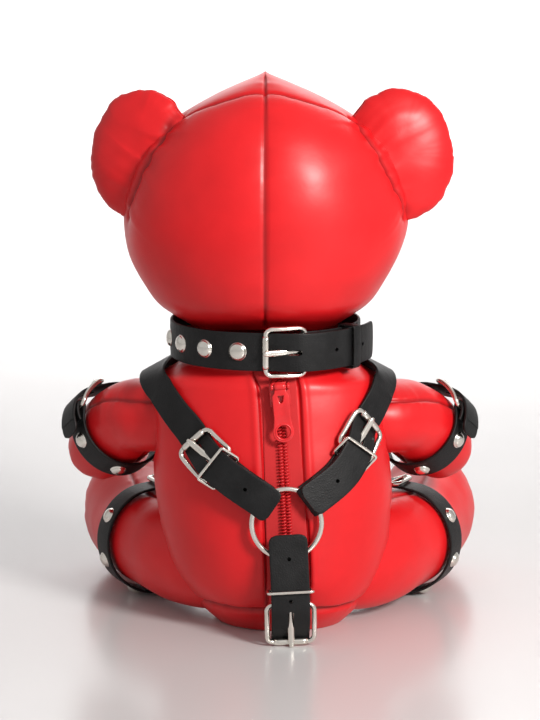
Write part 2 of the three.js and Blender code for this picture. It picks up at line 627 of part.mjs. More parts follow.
const zipRoute = (top, bottom) =>
  trunkRoute([0, 0.25, 0.5, 0.75, 1].map((part) => seamAt(top + (bottom - top) * part)));

function addTrunkAndZip() {
  const recess = strip(zipRoute(ZIP.top + 0.5, ZIP.bottom - 0.5), ZIP.tapeWidth + 1, -1.9, 3);
  addPiece("trunk_cover", cut(coverOf(trunkSkin), recess), RED);
  addPiece("trunk_stuffing", stuffingOf(trunkSkin), FIBRE);
  addPiece("zip_tape", strip(zipRoute(ZIP.top, ZIP.bottom), ZIP.tapeWidth, -1.55, -0.3), RED_ZIP);
  addPiece("zip_teeth", strip(zipRoute(ZIP.top - 1, ZIP.teethEnd), ZIP.teethWidth, 0.4, 1.5), RED_ZIP);
  addSlider();
}

// The slider rides over the teeth and holds the pull on a bar across its top end.
const SLIDER = { length: 12, width: 10, low: 0.6, thick: 2.7 };
const PIVOT = { s: -4, n: 5.4, radius: 0.75, long: 8.4 };
const PULL = { thick: 1.5, end: 17.6, endRadius: 5.1, half: 4.1, holeRadius: 3.1 };

function addSlider() {
  const route = zipRoute(ZIP.sliderZ + 12, ZIP.sliderZ - 12);
  const middle = route.total / 2;
  const at = (s, v, n) => vec(middle + s, v, n);
  const onPivot = (radius, long) =>
    new THREE.CylinderGeometry(radius, radius, long, 12).translate(middle + PIVOT.s, 0, PIVOT.n);
  const body = box(SLIDER.length, SLIDER.width, SLIDER.thick, at(0, 0, SLIDER.low + SLIDER.thick / 2));
  const lugs = [-1, 1].map((side) => box(2.6, 1.2, 4.2, at(PIVOT.s, side * 4, 4.6)));
  const channel = box(SLIDER.length + 2, ZIP.teethWidth + 1, 3.5, at(0, 0, 0.4));
  const slider = cut(join(body, ...lugs, onPivot(PIVOT.radius, PIVOT.long)), channel);
  addPiece("zip_slider", rigid(route, middle, slider), RED_PAINT);

  const { thick, end, endRadius, half, holeRadius } = PULL;
  const outline = new THREE.Shape().moveTo(-3, -2.8).lineTo(0.5, -half).lineTo(11, -half + 0.1);
  outline.absarc(end, 0, endRadius, radians(-118), radians(118));
  outline.lineTo(11, half - 0.1).lineTo(0.5, half).lineTo(-3, 2.8);
  outline.holes = [new THREE.Path().absarc(end, 0, holeRadius, 0, 2 * Math.PI)];
  const flat = new THREE.ExtrudeGeometry(outline, { depth: thick, bevelEnabled: false, curveSegments: 7 });
  const plate = flat.translate(middle, 0, PIVOT.n - thick / 2);
  const pull = cut(join(plate, onPivot(1.9, 5.6)), onPivot(PIVOT.radius + 0.4, 12));
  addPiece("zip_pull", rigid(route, middle, pull), RED_PAINT);
}

// ---------------------------------------------------------------- the bear
addTrunkAndZip();
addHead();
for (const [side, sign] of Object.entries(SIDES)) {
  const arm = new Limb(ARM, ARM_TIP, sign, spineX(100));
  const leg = new Limb(LEG, LEG_TIP, sign, 0);
  addLimb(`arm_${side}`, arm, SWING_GAP);
  addLimb(`leg_${side}`, leg, SPLAY_GAP);
  addLimbBelt(`cuff_${side}`, arm, sign, CUFF);
  addLimbBelt(`garter_${side}`, leg, sign, GARTER);
  addHarnessStrap(`shoulder_${side}`, trunkRoute(SHOULDER_ROUTE[side]), { ...SHOULDER, ...SHOULDER_SIDE[side] });
}
addHarnessStrap("crotch", trunkRoute(CROTCH_ROUTE), CROTCH);
const chestRoute = trunkRoute(CHEST_ROUTE);
addPiece("chest_strap", plainStrap(chestRoute, HARNESS_WIDTH), BLACK);
addCollar();
addPiece("back_ring", ringOn(RING_BACK), STEEL);
addPiece("chest_ring", ringOn(RING_CHEST), STEEL);

export default bear;
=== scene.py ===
"""A seated stuffed bear in red faux leather, with a back zip, a buckled collar and a strap harness.

All sizes below are in millimetres in the row frame: +Z up, the bear faces +Y, -X is on the left from behind.
"""
import math

import bmesh
import bpy
import numpy as np
from mathutils import Matrix, Vector


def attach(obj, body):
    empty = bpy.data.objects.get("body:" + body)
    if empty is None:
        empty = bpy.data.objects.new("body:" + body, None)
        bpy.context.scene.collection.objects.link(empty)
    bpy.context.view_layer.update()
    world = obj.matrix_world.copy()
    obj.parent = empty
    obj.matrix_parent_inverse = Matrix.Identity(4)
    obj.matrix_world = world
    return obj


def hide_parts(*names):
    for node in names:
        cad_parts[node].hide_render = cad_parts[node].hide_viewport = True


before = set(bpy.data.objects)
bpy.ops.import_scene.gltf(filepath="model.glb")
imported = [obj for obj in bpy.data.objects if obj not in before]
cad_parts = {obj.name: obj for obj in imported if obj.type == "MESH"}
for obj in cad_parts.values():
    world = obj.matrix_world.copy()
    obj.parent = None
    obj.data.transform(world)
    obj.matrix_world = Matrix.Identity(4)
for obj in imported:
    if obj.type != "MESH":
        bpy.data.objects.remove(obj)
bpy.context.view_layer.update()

MM = 0.001
UP = np.array([0.0, 0.0, 1.0])

# ------------------------------------------------------------------ driving dimensions, as in the CAD model
SIDES = {"left": -1, "right": 1}
LEAN = 0.05
NECK_Z = 147.0
BACK_TURN = 5.5
HEAD_X = -LEAN * NECK_Z

# height, half width, half depth; the head adds how far forward its middle lies
TRUNK = [
    (0, 33, 31), (8, 42, 40), (22, 52, 48.5), (40, 58, 53), (60, 60, 54), (80, 60.5, 52), (100, 60.3, 48.5),
    (112, 60.3, 46.5), (119, 59, 45.3), (124, 56, 44.7), (128, 48.2, 43.2), (131, 43, 42.1), (134, 42.3, 42),
    (NECK_Z, 42, 41),
]
HEAD = [
    (149, 35, 34, 0), (152, 40, 39, 0), (155, 45, 44, 0), (160, 52, 50, 0), (170, 59.5, 56, 1),
    (185, 67.5, 60, 2), (201, 71, 62, 3), (217, 69.5, 60.5, 3), (232, 63.5, 56.5, 2), (245, 53, 50, 1),
    (254.5, 41, 42, 0), (260.5, 30.5, 36, 0), (265.5, 21, 28, 0), (270.5, 10.5, 18, 0), (274, 3, 7, 0),
]
HEAD_TOP = 275.0
# how far the back's lean carries both arms sideways
ARM_SHIFT = -LEAN * 100
# x, y, z, half width, half height from inside the trunk to the tip, for the right side
ARM = [
    (40, 3, 102, 19, 18), (57, 6, 101.5, 20, 18.5), (69, 16, 99.5, 20, 19), (78.5, 30, 91, 20.3, 20.3),
    (86.5, 41, 81, 19.3, 19), (90.5, 48, 74.5, 16.8, 16.5), (92.5, 52, 70.5, 11, 11),
    (93.5, 54, 68.5, 0.5, 0.5),
]
LEG = [
    (20, -9, 30, 24, 24), (34, 1, 30, 27, 27), (47, 15, 30, 28, 27.5), (57.5, 30, 30, 26.7, 26.3),
    (67, 45, 30, 25.5, 25.5), (73, 62, 30.5, 25.3, 26.2), (78, 82, 32, 26, 29.5), (81.5, 98, 33.7, 26.3, 33),
    (83.5, 108, 33.9, 25, 31.5), (84.3, 113, 34.2, 18, 24), (84.8, 114.5, 34.2, 0.5, 0.5),
]


# ------------------------------------------------------------------ smooth tables and noise
def along(rows, x):
    """The columns of a table at any x, on a cubic through its rows. x may be an array."""
    table = np.array(rows, float)
    knots, values = table[:, 0], table[:, 1:]
    slopes = np.diff(values, axis=0) / np.diff(knots)[:, None]
    tangents = np.vstack([slopes[:1], (slopes[1:] + slopes[:-1]) / 2, slopes[-1:]])
    x = np.atleast_1d(np.asarray(x, float))
    k = np.clip(np.searchsorted(knots, x, side="right") - 1, 0, len(knots) - 2)
    span = (knots[k + 1] - knots[k])[:, None]
    t = (x[:, None] - knots[k][:, None]) / span
    return (
        (2 * t**3 - 3 * t**2 + 1) * values[k] + (t**3 - 2 * t**2 + t) * span * tangents[k]
        + (3 * t**2 - 2 * t**3) * values[k + 1] + (t**3 - t**2) * span * tangents[k + 1]
    )


def between(rows, t):
    """The values of rows at places t, counted in rows."""
    return along([(i, *row) for i, row in enumerate(rows)], t)


def distances(line):
    """How far along a line each of its points is."""
    return np.concatenate([[0.0], np.cumsum(np.linalg.norm(np.diff(line, axis=0), axis=1))])


def full_turn(count):
    """Even steps round a circle, in radians."""
    return np.linspace(0, 2 * math.pi, count, endpoint=False)


def lattice(i, j, k, seed):
    """A repeatable value from -1 to 1 for each whole-number point."""
    h = (i * 374761393 + j * 668265263 + k * 2147483647 + seed * 1274126177) & 0x7FFFFFFF
    h = ((h ^ (h >> 13)) * 1274126177) & 0x7FFFFFFF
    return ((h ^ (h >> 16)) & 0xFFFF) / 32767.5 - 1.0


def noise(points, size, seed):
    """Smooth noise from about -1 to 1 whose lumps are about `size` mm across."""
    p = np.asarray(points, float) / size
    cell = np.floor(p).astype(np.int64)
    f = p - cell
    f = f * f * f * (f * (f * 6 - 15) + 10)
    total = 0.0
    for corner in range(8):
        a, b, c = corner & 1, (corner >> 1) & 1, corner >> 2
        weight = (f[..., 0] if a else 1 - f[..., 0]) * (f[..., 1] if b else 1 - f[..., 1])
        weight = weight * (f[..., 2] if c else 1 - f[..., 2])
        total = total + weight * lattice(cell[..., 0] + a, cell[..., 1] + b, cell[..., 2] + c, seed)
    return total


def unit(v):
    return v / np.maximum(np.linalg.norm(v, axis=-1, keepdims=True), 1e-9)


def square_to(forward):
    """Two directions square to a forward one: the level one across it, and the one up from both."""
    across = unit(np.cross(forward, UP))
    return across, unit(np.cross(across, forward))


def spine_x(z):
    return -LEAN * np.minimum(z, NECK_Z)


# ------------------------------------------------------------------ meshes
def new_object(name, vertices, faces, finish, body):
    """A mesh in the row frame, from millimetres, that rides on a CAD body."""
    mesh = bpy.data.meshes.new(name)
    mesh.from_pydata((np.asarray(vertices, float) * MM).tolist(), [], faces)
    mesh.validate()
    mesh.update()
    mesh.polygons.foreach_set("use_smooth", [True] * len(mesh.polygons))
    mesh.materials.append(finish)
    obj = bpy.data.objects.new(name, mesh)
    bpy.context.scene.collection.objects.link(obj)
    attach(obj, body)
    return obj


def grid_faces(rows, columns, ring=False):
    """Quads over rows of points that go round, and whose last row meets the first in a ring.

    They face out when columns run anticlockwise and rows rise.
    """
    faces = []
    for i in range(rows if ring else rows - 1):
        here, ahead = i * columns, (i + 1) % rows * columns
        for j in range(columns):
            k = (j + 1) % columns
            faces.append((here + j, here + k, ahead + k, ahead + j))
    return faces


def grid_normals(points):
    """Outward normals of a grid of points that wraps round in its second direction."""
    round_step = np.roll(points, -1, axis=1) - np.roll(points, 1, axis=1)
    rise_step = np.gradient(points, axis=0)
    return unit(np.cross(round_step, rise_step))


def subtract(obj, cutter):
    """Takes the cutter's shape out of obj's mesh."""
    modifier = obj.modifiers.new("subtract", "BOOLEAN")
    modifier.object, modifier.operation, modifier.solver = cutter, "DIFFERENCE", "EXACT"
    depsgraph = bpy.context.evaluated_depsgraph_get()
    mesh = bpy.data.meshes.new_from_object(obj.evaluated_get(depsgraph))
    obj.modifiers.clear()
    old, obj.data = obj.data, mesh
    bpy.data.meshes.remove(old)


# ------------------------------------------------------------------ sewn skins
class Seam:
    """A sewn line on a skin: the skin dips to it, and small puckers run away from it on both sides."""

    def __init__(self, points, depth=1.0, width=1.1, dip=1.2, reach=7.0, pucker=0.45, pitch=6.0, seed=1):
        self.points = np.asarray(points, float)
        self.length = distances(self.points)
        self.depth, self.width, self.dip, self.reach = depth, width, dip, reach
        self.pucker, self.pitch, self.seed = pucker, pitch, seed

    def nearest(self, vertices):
        """Each vertex's distance to the seam, and how far along the seam that is."""
        a, b = self.points[:-1], self.points[1:]
        d = b - a
        best = np.full(len(vertices), 1e9)
        place = np.zeros(len(vertices))
        for i in range(len(a)):
            t = np.clip(((vertices - a[i]) @ d[i]) / max(d[i] @ d[i], 1e-9), 0, 1)
            gap = np.linalg.norm(vertices - (a[i] + t[:, None] * d[i]), axis=1)
            nearer = gap < best
            best = np.where(nearer, gap, best)
            place = np.where(nearer, self.length[i] + t * (self.length[i + 1] - self.length[i]), place)
        return best, place

    def relief(self, vertices):
        """How far each vertex moves along its normal, and its painted shade from 0 to 1, full in the groove.
        """
        gap, place = self.nearest(vertices)
        warp = 1.6 * noise(vertices, 14, self.seed + 5)
        row = np.stack([place + warp, np.zeros_like(place), np.zeros_like(place)], axis=1)
        ripple = noise(row, self.pitch, self.seed) + 0.5 * noise(row, self.pitch * 0.45, self.seed + 1)
        length = self.reach * (0.75 + 0.6 * noise(row, self.pitch * 2.2, self.seed + 2))
        fade = np.exp(-np.maximum(gap - self.width, 0) / np.maximum(length, 1.5)) * np.minimum(gap / 1.2, 1)
        groove = np.exp(-((gap / self.width) ** 2))
        move = self.pucker * ripple * fade - self.depth * groove - self.dip * np.exp(-gap / self.reach)
        # The second value is painted shade: the whole groove, and a little in the pucker hollows near the
        # seam.
        return move, groove + 0.35 * np.exp(-gap / 2.5) * np.clip(0.5 - ripple, 0, 1)


def sewn(points, seams, lumps):
    """A grid of skin points moved by its seams and by lumps of (height, size, seed), and its painted shade
    along the seams.
    """
    shape = points.shape
    flat = points.reshape(-1, 3)
    normals = grid_normals(points).reshape(-1, 3)
    move, crease_shade = np.zeros(len(flat)), np.zeros(len(flat))
    for seam in seams:
        push, depth = seam.relief(flat)
        move += push
        # Each vertex keeps the darkest painted shade of all its seams.
        crease_shade = np.maximum(crease_shade, depth)
    for height, size, seed in lumps:
        move += height * noise(flat, size, seed)
    return (flat + normals * move[:, None]).reshape(shape), crease_shade


def skin_object(name, points, crease_shade, body, nodes, tip=None):
    """A skin from rows of points, from its sewn-on end to its tip, with its painted seam shade kept for the
    material.

    A skin without a tip is closed over its first and last rings instead.
    """
    rows, columns = points.shape[:2]
    vertices = points.reshape(-1, 3)
    faces = grid_faces(rows, columns)
    last = (rows - 1) * columns
    if tip is not None:
        vertices = np.vstack([vertices, tip])
        crease_shade = np.append(crease_shade, 0.0)
        faces += [(last + j, last + (j + 1) % columns, len(vertices) - 1) for j in range(columns)]
    else:
        faces += [tuple(range(columns - 1, -1, -1)), tuple(range(last, last + columns))]
    obj = new_object(name, vertices, faces, RED, body)
    # The painted seam shade is stored per point for the red leather's colour to darken by.
    obj.data.attributes.new("crease_shade", "FLOAT", "POINT").data.foreach_set("value", crease_shade.astype(np.float32))
    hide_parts(*nodes)


# ------------------------------------------------------------------ materials
def preset(made, inputs):
    """Values for inputs, which are named with underscores for spaces."""
    for key, value in inputs.items():
        made.inputs[key.replace("_", " ")].default_value = value
    return made


def material(name, **inputs):
    mat = bpy.data.materials.new(name)
    mat.use_nodes = True
    tree = mat.node_tree
    return mat, tree, preset(tree.nodes["Principled BSDF"], inputs)


def node(tree, kind, **inputs):
    return preset(tree.nodes.new(kind), inputs)


def placed_noise(tree, scale, detail, rough=0.5, stretch=(1, 1, 1)):
    """Noise fixed to the object, with `scale` features to a metre."""
    coordinates = tree.nodes.new("ShaderNodeTexCoord")
    mapping = tree.nodes.new("ShaderNodeMapping")
    mapping.inputs["Scale"].default_value = stretch
    texture = node(tree, "ShaderNodeTexNoise", Scale=scale, Detail=detail, Roughness=rough)
    tree.links.new(coordinates.outputs["Object"], mapping.inputs["Vector"])
    tree.links.new(mapping.outputs["Vector"], texture.inputs["Vector"])
    return texture.outputs["Fac"]


def cells(tree, scale):
    """The distance to the edges of cells fixed to the object."""
    coordinates = tree.nodes.new("ShaderNodeTexCoord")
    texture = node(tree, "ShaderNodeTexVoronoi", Scale=scale)
    texture.feature = "DISTANCE_TO_EDGE"
    tree.links.new(coordinates.outputs["Object"], texture.inputs["Vector"])
    return texture.outputs["Distance"]


def ramp(tree, source, stops):
    """A colour ramp of (place, colour) stops fed by a number."""
    made = tree.nodes.new("ShaderNodeValToRGB")
    elements = made.color_ramp.elements
    for element, (place, colour) in zip(elements, stops[:2]):
        element.position, element.color = place, (*colour, 1)
    for place, colour in stops[2:]:
        elements.new(place).color = (*colour, 1)
    tree.links.new(source, made.inputs["Fac"])
    return made.outputs["Color"]


def spread(tree, source, low, high):
    made = node(tree, "ShaderNodeMapRange", To_Min=low, To_Max=high)
    tree.links.new(source, made.inputs["Value"])
    return made.outputs["Result"]


def bump(tree, shader, layers):
    """Stacks bumps of (height source, distance in mm, strength)."""
    normal = None
    for source, distance, strength in layers:
        made = node(tree, "ShaderNodeBump", Distance=distance * MM, Strength=strength)
        tree.links.new(source, made.inputs["Height"])
        if normal is not None:
            tree.links.new(normal, made.inputs["Normal"])
        normal = made.outputs["Normal"]
    tree.links.new(normal, shader.inputs["Normal"])


def mixed(tree, factor, a, b):
    made = tree.nodes.new("ShaderNodeMix")
    made.data_type = "RGBA"
    for socket, value in ((made.inputs[0], factor), (made.inputs[6], a), (made.inputs[7], b)):
        if isinstance(value, bpy.types.NodeSocket):
            tree.links.new(value, socket)
        else:
            socket.default_value = value
    return made.outputs[2]


def red_leather():
    """Smooth satin faux leather: a soft sheen, a very fine grain, and painted shade, a darker red, down in
    the creases.
    """
    mat, tree, shader = material(
        "red_leather", Specular_IOR_Level=0.36, Coat_Weight=0.08, Coat_Roughness=0.28
    )
    cloudy = placed_noise(tree, 28, 4)
    base = ramp(tree, cloudy, [(0.3, (0.62, 0.006, 0.009)), (0.7, (0.76, 0.010, 0.014))])
    # Painted shade: the colour is mixed towards a dark red along the seam grooves, in the pucker hollows
    # beside them and along the fly's folded edges.
    crease_shade = tree.nodes.new("ShaderNodeAttribute")
    crease_shade.attribute_name = "crease_shade"
    painted_shade_weight = spread(tree, crease_shade.outputs["Fac"], 0.0, 0.75)
    tree.links.new(mixed(tree, painted_shade_weight, base, (0.26, 0.002, 0.004, 1)), shader.inputs["Base Color"])
    patches = placed_noise(tree, 60, 3)
    tree.links.new(spread(tree, patches, 0.33, 0.45), shader.inputs["Roughness"])
    grain = cells(tree, 1500)
    fine = placed_noise(tree, 900, 2)
    soft = placed_noise(tree, 110, 3)
    bump(tree, shader, [(soft, 0.6, 0.16), (grain, 0.05, 0.16), (fine, 0.04, 0.12)])
    return mat


def black_leather():
    """Black grained strap leather with a slight pebble and a duller, scuffed variation."""
    mat, tree, shader = material("black_leather", Specular_IOR_Level=0.3)
    worn = placed_noise(tree, 90, 5, 0.6)
    base = ramp(tree, worn, [(0.35, (0.0035, 0.0035, 0.0038)), (0.72, (0.010, 0.010, 0.0105))])
    tree.links.new(base, shader.inputs["Base Color"])
    tree.links.new(spread(tree, worn, 0.42, 0.58), shader.inputs["Roughness"])
    pebble = cells(tree, 820)
    fold = placed_noise(tree, 260, 4)
    fibre = placed_noise(tree, 1800, 2)
    bump(tree, shader, [(fold, 0.40, 0.30), (pebble, 0.22, 0.6), (fibre, 0.06, 0.25)])
    return mat


def nickel():
    """Nickel-plated steel: bright, slightly warm, with faint polishing marks."""
    mat, tree, shader = material("nickel", Metallic=1.0)
    tint = placed_noise(tree, 200, 3)
    base = ramp(tree, tint, [(0.3, (0.78, 0.74, 0.67)), (0.7, (0.88, 0.85, 0.79))])
    tree.links.new(base, shader.inputs["Base Color"])
    marks = placed_noise(tree, 700, 4, 0.6, (1, 1, 6))
    tree.links.new(spread(tree, marks, 0.14, 0.30), shader.inputs["Roughness"])
    bump(tree, shader, [(marks, 0.02, 0.2)])
    return mat


def plain(name, colour, roughness, grain=600, depth=0.05, coat=0.0):
    """A moulded or painted finish of one colour, varied a little, over a fine grain."""
    mat, tree, shader = material(name, Coat_Weight=coat, Coat_Roughness=0.06)
    tone = placed_noise(tree, 140, 3)
    low, high = ([c * times for c in colour] for times in (0.88, 1.12))
    tree.links.new(ramp(tree, tone, [(0.3, low), (0.7, high)]), shader.inputs["Base Color"])
    fine = placed_noise(tree, grain, 3)
    sheen = spread(tree, fine, roughness - 0.05, roughness + 0.07)
    tree.links.new(sheen, shader.inputs["Roughness"])
    bump(tree, shader, [(fine, depth, 0.3)])
    return mat


def woven(name, colour):
    """Zip tape: fine crossed ribs, with painted shade darkening the colour in the hollows of one set."""
    mat, tree, shader = material(name, Roughness=0.8, Sheen_Weight=0.3)
    coordinates = tree.nodes.new("ShaderNodeTexCoord")
    waves = []
    for axis in ("X", "Z"):
        wave = node(tree, "ShaderNodeTexWave", Scale=620, Distortion=0.6)
        wave.bands_direction = axis
        tree.links.new(coordinates.outputs["Object"], wave.inputs["Vector"])
        waves.append(wave.outputs["Fac"])
    # Painted shade: the colour is a quarter darker where the bump of the ribs across Z is low.
    shade = mixed(tree, waves[1], tuple(c * 0.75 for c in colour) + (1,), (*colour, 1))
    tree.links.new(shade, shader.inputs["Base Color"])
    bump(tree, shader, [(waves[0], 0.1, 0.6), (waves[1], 0.1, 0.6)])
    return mat


RED = red_leather()
BLACK = black_leather()
NICKEL = nickel()
ZIP_PAINT = plain("zip_red_paint", (0.64, 0.010, 0.014), 0.30, coat=0.35)
ZIP_COIL = plain("zip_red_coil", (0.60, 0.008, 0.012), 0.40)
TAPE = woven("zip_tape_weave", (0.64, 0.010, 0.013))
EYE_GLOSS = plain("eye_gloss", (0.006, 0.006, 0.006), 0.08, depth=0.0, coat=1.0)
NOSE = plain("nose_leather", (0.012, 0.012, 0.012), 0.42, grain=900, depth=0.1)
DARK_THREAD = plain("dark_thread", (0.02, 0.02, 0.02), 0.6, grain=2500, depth=0.08)


# ------------------------------------------------------------------ trunk
def trunk_point(degrees, z):
    degrees, z = np.broadcast_arrays(np.asarray(degrees, float), np.asarray(z, float))
    size = along(TRUNK, z.ravel()).reshape(*z.shape, 2)
    angle = np.radians(degrees)
    return np.stack([spine_x(z) + size[..., 0] * np.cos(angle), size[..., 1] * np.sin(angle), z], axis=-1)


def trunk_normal(degrees, z):
    degrees, z = np.asarray(degrees, float), np.asarray(z, float)
    turn = trunk_point(degrees + 1, z) - trunk_point(degrees - 1, z)
    rise = trunk_point(degrees, z + 0.5) - trunk_point(degrees, z - 0.5)
    return unit(np.cross(turn, rise))


ZIP_DEGREES = 270 + BACK_TURN
PLACKET = 10.4
ZIP = {"top": 132, "bottom": 24, "teeth_end": 51, "slider": 120.5}


def limb_root(rows, sign, shift, row):
    """The closed line where a limb leaves the trunk, on the trunk's surface."""
    loop = limb_ring(rows, sign, shift, row, 48)
    z = np.clip(loop[:, 2], 2, 132)
    angle = np.degrees(np.arctan2(loop[:, 1] / 50, (loop[:, 0] - spine_x(z)) / 60))
    return np.vstack([trunk_point(angle, z), trunk_point(angle[:1], z[:1])])


def limb_axis(rows, sign, shift, t):
    """Centre, half width, half height and direction at places t along a limb, counted in rows."""
    value, ahead, back = (between(rows, np.asarray(t) + step) for step in (0, 0.02, -0.02))
    flip = np.array([sign, 1, 1])
    centre = value[:, :3] * flip + np.array([shift, 0, 0])
    return centre, value[:, 3], value[:, 4], unit((ahead - back)[:, :3] * flip)


def limb_ring(rows, sign, shift, t, count):
    centre, a, b, forward = limb_axis(rows, sign, shift, np.array([t]))
    across, up = square_to(forward[0])
    angle = full_turn(count)[:, None]
    return centre[0] + a[0] * np.cos(angle) * across + b[0] * np.sin(angle) * up


def zip_point(v, z, n):
    """A point beside the zip's middle line, n over the trunk's surface.

    It really lies v times the trunk's depth over its width to the side, so about an eighth less than v.
    """
    v, z, n = np.broadcast_arrays(np.asarray(v, float), np.asarray(z, float), np.asarray(n, float))
    half_width, half_depth = along(TRUNK, z.ravel()).T.reshape(2, *z.shape)
    degrees = ZIP_DEGREES + np.degrees(v / ((half_width**2) / half_depth))
    return trunk_point(degrees, z) + trunk_normal(degrees, z) * n[..., None]


def across_zip(points):
    """How far points on the trunk lie to the side of the zip's middle line."""
    middle = trunk_point(ZIP_DEGREES, points[..., 2])
    angle = math.radians(BACK_TURN)
    return (points - middle) @ np.array([math.cos(angle), math.sin(angle), 0])


def smoothstep(x, low, high):
    t = np.clip((x - low) / (high - low), 0, 1)
    return t * t * (3 - 2 * t)


def zip_recess(points):
    """The fly between the zip's two folded edges lies lower than the skin beside it, which rolls over."""
    v = np.abs(across_zip(points))
    z = points[..., 2]
    front = points[..., 1] < 0
    upright = smoothstep(z, ZIP["bottom"] - 2, ZIP["bottom"] + 6) * front
    sunk = 1.7 * (1 - smoothstep(v, PLACKET - 0.9, PLACKET + 0.3))
    roll = 0.55 * np.exp(-(((v - PLACKET - 2.2) / 1.7) ** 2))
    return (roll - sunk) * upright


def trunk_skin():
    stretches = ((146.5, 132, 12), (131.4, 10, 190), (9.4, 0.15, 18))
    heights = np.concatenate([np.linspace(*stretch) for stretch in stretches])
    fine = ZIP_DEGREES + np.linspace(-17, 17, 90)
    coarse = ZIP_DEGREES + np.linspace(17, 343, 250)[1:-1]
    angles = np.concatenate([fine, coarse])[::-1]
    points = trunk_point(angles[None, :], heights[:, None])
    points = points + grid_normals(points) * zip_recess(points)[..., None]
    line = np.linspace(60, 3, 30)
    seams = []
    for side in (-1, 1):
        edge = zip_point(side * (PLACKET + 0.6), line, 0)
        seams.append(Seam(edge, depth=1.0, width=0.9, dip=0.9, reach=4.5, pucker=0.2, seed=3 + side))
    base = trunk_point(np.linspace(0, 360, 120), 12.5)
    seams.append(Seam(base, depth=1.8, width=1.5, dip=1.0, reach=6, pucker=0.55, pitch=8, seed=9))
    for sign in SIDES.values():
        for rows, shift, row in ((ARM, ARM_SHIFT, 0.9), (LEG, 0, 1.5)):
            root = limb_root(rows, sign, shift, row)
            seams.append(Seam(root, depth=1.6, width=2.2, dip=1.6, reach=8, pucker=0.6, seed=20 + sign))
    points, crease_shade = sewn(points, seams, lumps=[(0.55, 46, 31), (0.22, 17, 32)])
    # Painted shade along both folded edges of the fly, added to the seam shade.
    edge = np.abs(across_zip(points)) - PLACKET
    along_fly = (points[..., 1] < 0) & (points[..., 2] > ZIP["bottom"])
    crease_shade = np.maximum(crease_shade, np.where(along_fly, 0.8 * np.exp(-((edge / 0.8) ** 2)), 0).ravel())
    tip = np.array([0, 0, 0.1])
    skin_object("trunk_skin", points, crease_shade, "trunk", ["trunk_cover", "trunk_stuffing"], tip)


# ------------------------------------------------------------------ limbs
def limb_skin(name, rows, sign, shift, body, seams_at, seed, end):
    """One stuffed limb. `seams_at` are angles round it, and `end` is the row its end panel's seam follows."""
    t = np.concatenate([np.linspace(0.05, end, 130), np.linspace(end, len(rows) - 1.02, 40)[1:]])
    centre, a, b, forward = limb_axis(rows, sign, shift, t)
    across, up = square_to(forward)
    turns = -full_turn(180)

    def place(u, i):
        wide, high = a[i] * np.cos(u), b[i] * np.sin(u)
        return centre[i] + wide[..., None] * across[i] + high[..., None] * up[i]

    points = np.stack([place(turns, np.full(len(turns), i)) for i in range(len(t))])
    ends = np.arange(len(t))[t <= end + 0.02]
    seams = []
    for k, degrees in enumerate(seams_at):
        line = place(np.full(len(ends), math.radians(degrees if sign > 0 else 180 - degrees)), ends)
        seams.append(Seam(line, depth=0.9, width=1.0, dip=0.9, reach=6, pucker=0.5, seed=seed + k))
    loop = np.append(turns, turns[:1])
    rim = place(loop, np.full(len(loop), ends[-1]))
    seams.append(Seam(rim, depth=0.9, width=1.0, dip=0.9, reach=5, pucker=0.5, pitch=5, seed=seed + 7))
    points, crease_shade = sewn(points, seams, lumps=[(0.7, 30, seed + 8), (0.25, 12, seed + 9)])
    tip = points[-1].mean(axis=0)
    nodes = [f"{body}_cover", f"{body}_stuffing"]
    skin_object(name, points, crease_shade, body, nodes, tip)


def limb_skins():
    for side, sign in SIDES.items():
        limb_skin(f"arm_{side}_skin", ARM, sign, ARM_SHIFT, f"arm_{side}", (34, 255), 40 + sign, 5.4)
        limb_skin(f"leg_{side}_skin", LEG, sign, 0.0, f"leg_{side}", (80, 250), 60 + sign, 7.9)


# ------------------------------------------------------------------ head
def head_point(degrees, z):
    degrees, z = np.broadcast_arrays(np.asarray(degrees, float), np.asarray(z, float))
    size = along(HEAD, z.ravel()).reshape(*z.shape, 3)
    angle = np.radians(degrees)
    x = HEAD_X + size[..., 0] * np.cos(angle)
    return np.stack([x, size[..., 2] + size[..., 1] * np.sin(angle), z], axis=-1)


def head_line(path):
    """A seam on the head through a few (degrees, height) places."""
    smooth = between(path, np.linspace(0, len(path) - 1, 60))
    return head_point(smooth[:, 0], smooth[:, 1])


EAR_ROOT = {
    "left": [(196, 252), (205, 240), (203, 222), (194, 204)],
    "right": [(344, 252), (335, 240), (337, 222), (346, 204)],
}


def head_skin():
    heights = np.concatenate([np.linspace(149.3, 246, 150), np.linspace(246.8, 273.9, 46)])
    angles = np.linspace(0, 360, 320, endpoint=False) + 90
    points = head_point(angles[None, :], heights[:, None])
    back = head_line([(270, 273.8), (270, 240), (270, 200), (270, 151)])
    front = head_line([(90, 273.8), (90, 250), (90, 225), (90, 205)])
    crown = [(190, 249), (215, 257), (245, 263.5), (270, 265), (295, 263.5), (325, 257), (350, 249)]
    seams = [
        Seam(back, depth=0.9, width=0.8, dip=1.5, reach=9, pucker=0.22, pitch=7, seed=11),
        Seam(front, depth=0.8, width=0.8, dip=0.7, reach=6, pucker=0.2, seed=12),
        Seam(head_line(crown), depth=0.9, width=0.9, dip=0.8, reach=5, pucker=0.25, pitch=7, seed=13),
    ]
    for side, path in EAR_ROOT.items():
        root, seed = head_line(path), 15 + SIDES[side]
        seams.append(Seam(root, depth=1.3, width=2.0, dip=1.6, reach=9, pucker=0.9, pitch=6, seed=seed))
    points, crease_shade = sewn(points, seams, lumps=[(0.9, 55, 33), (0.35, 20, 34)])
    tip = np.array([HEAD_X, 0, HEAD_TOP - 1.0])
    skin_object("head_skin", points, crease_shade, "head", ["head_cover", "head_stuffing"], tip)


# ------------------------------------------------------------------ stage, light and camera
# metres: where the floor starts to rise, how wide its bend is, and how far it runs
COVE_START = 0.9
COVE_RADIUS = 1.6
STAGE_REACH = 6
CAMERA = {"sensor": 36, "distance": 1000.0, "elevation": 8.0, "lens": 100.0, "target": (-5.0, 0.0, 131.0)}


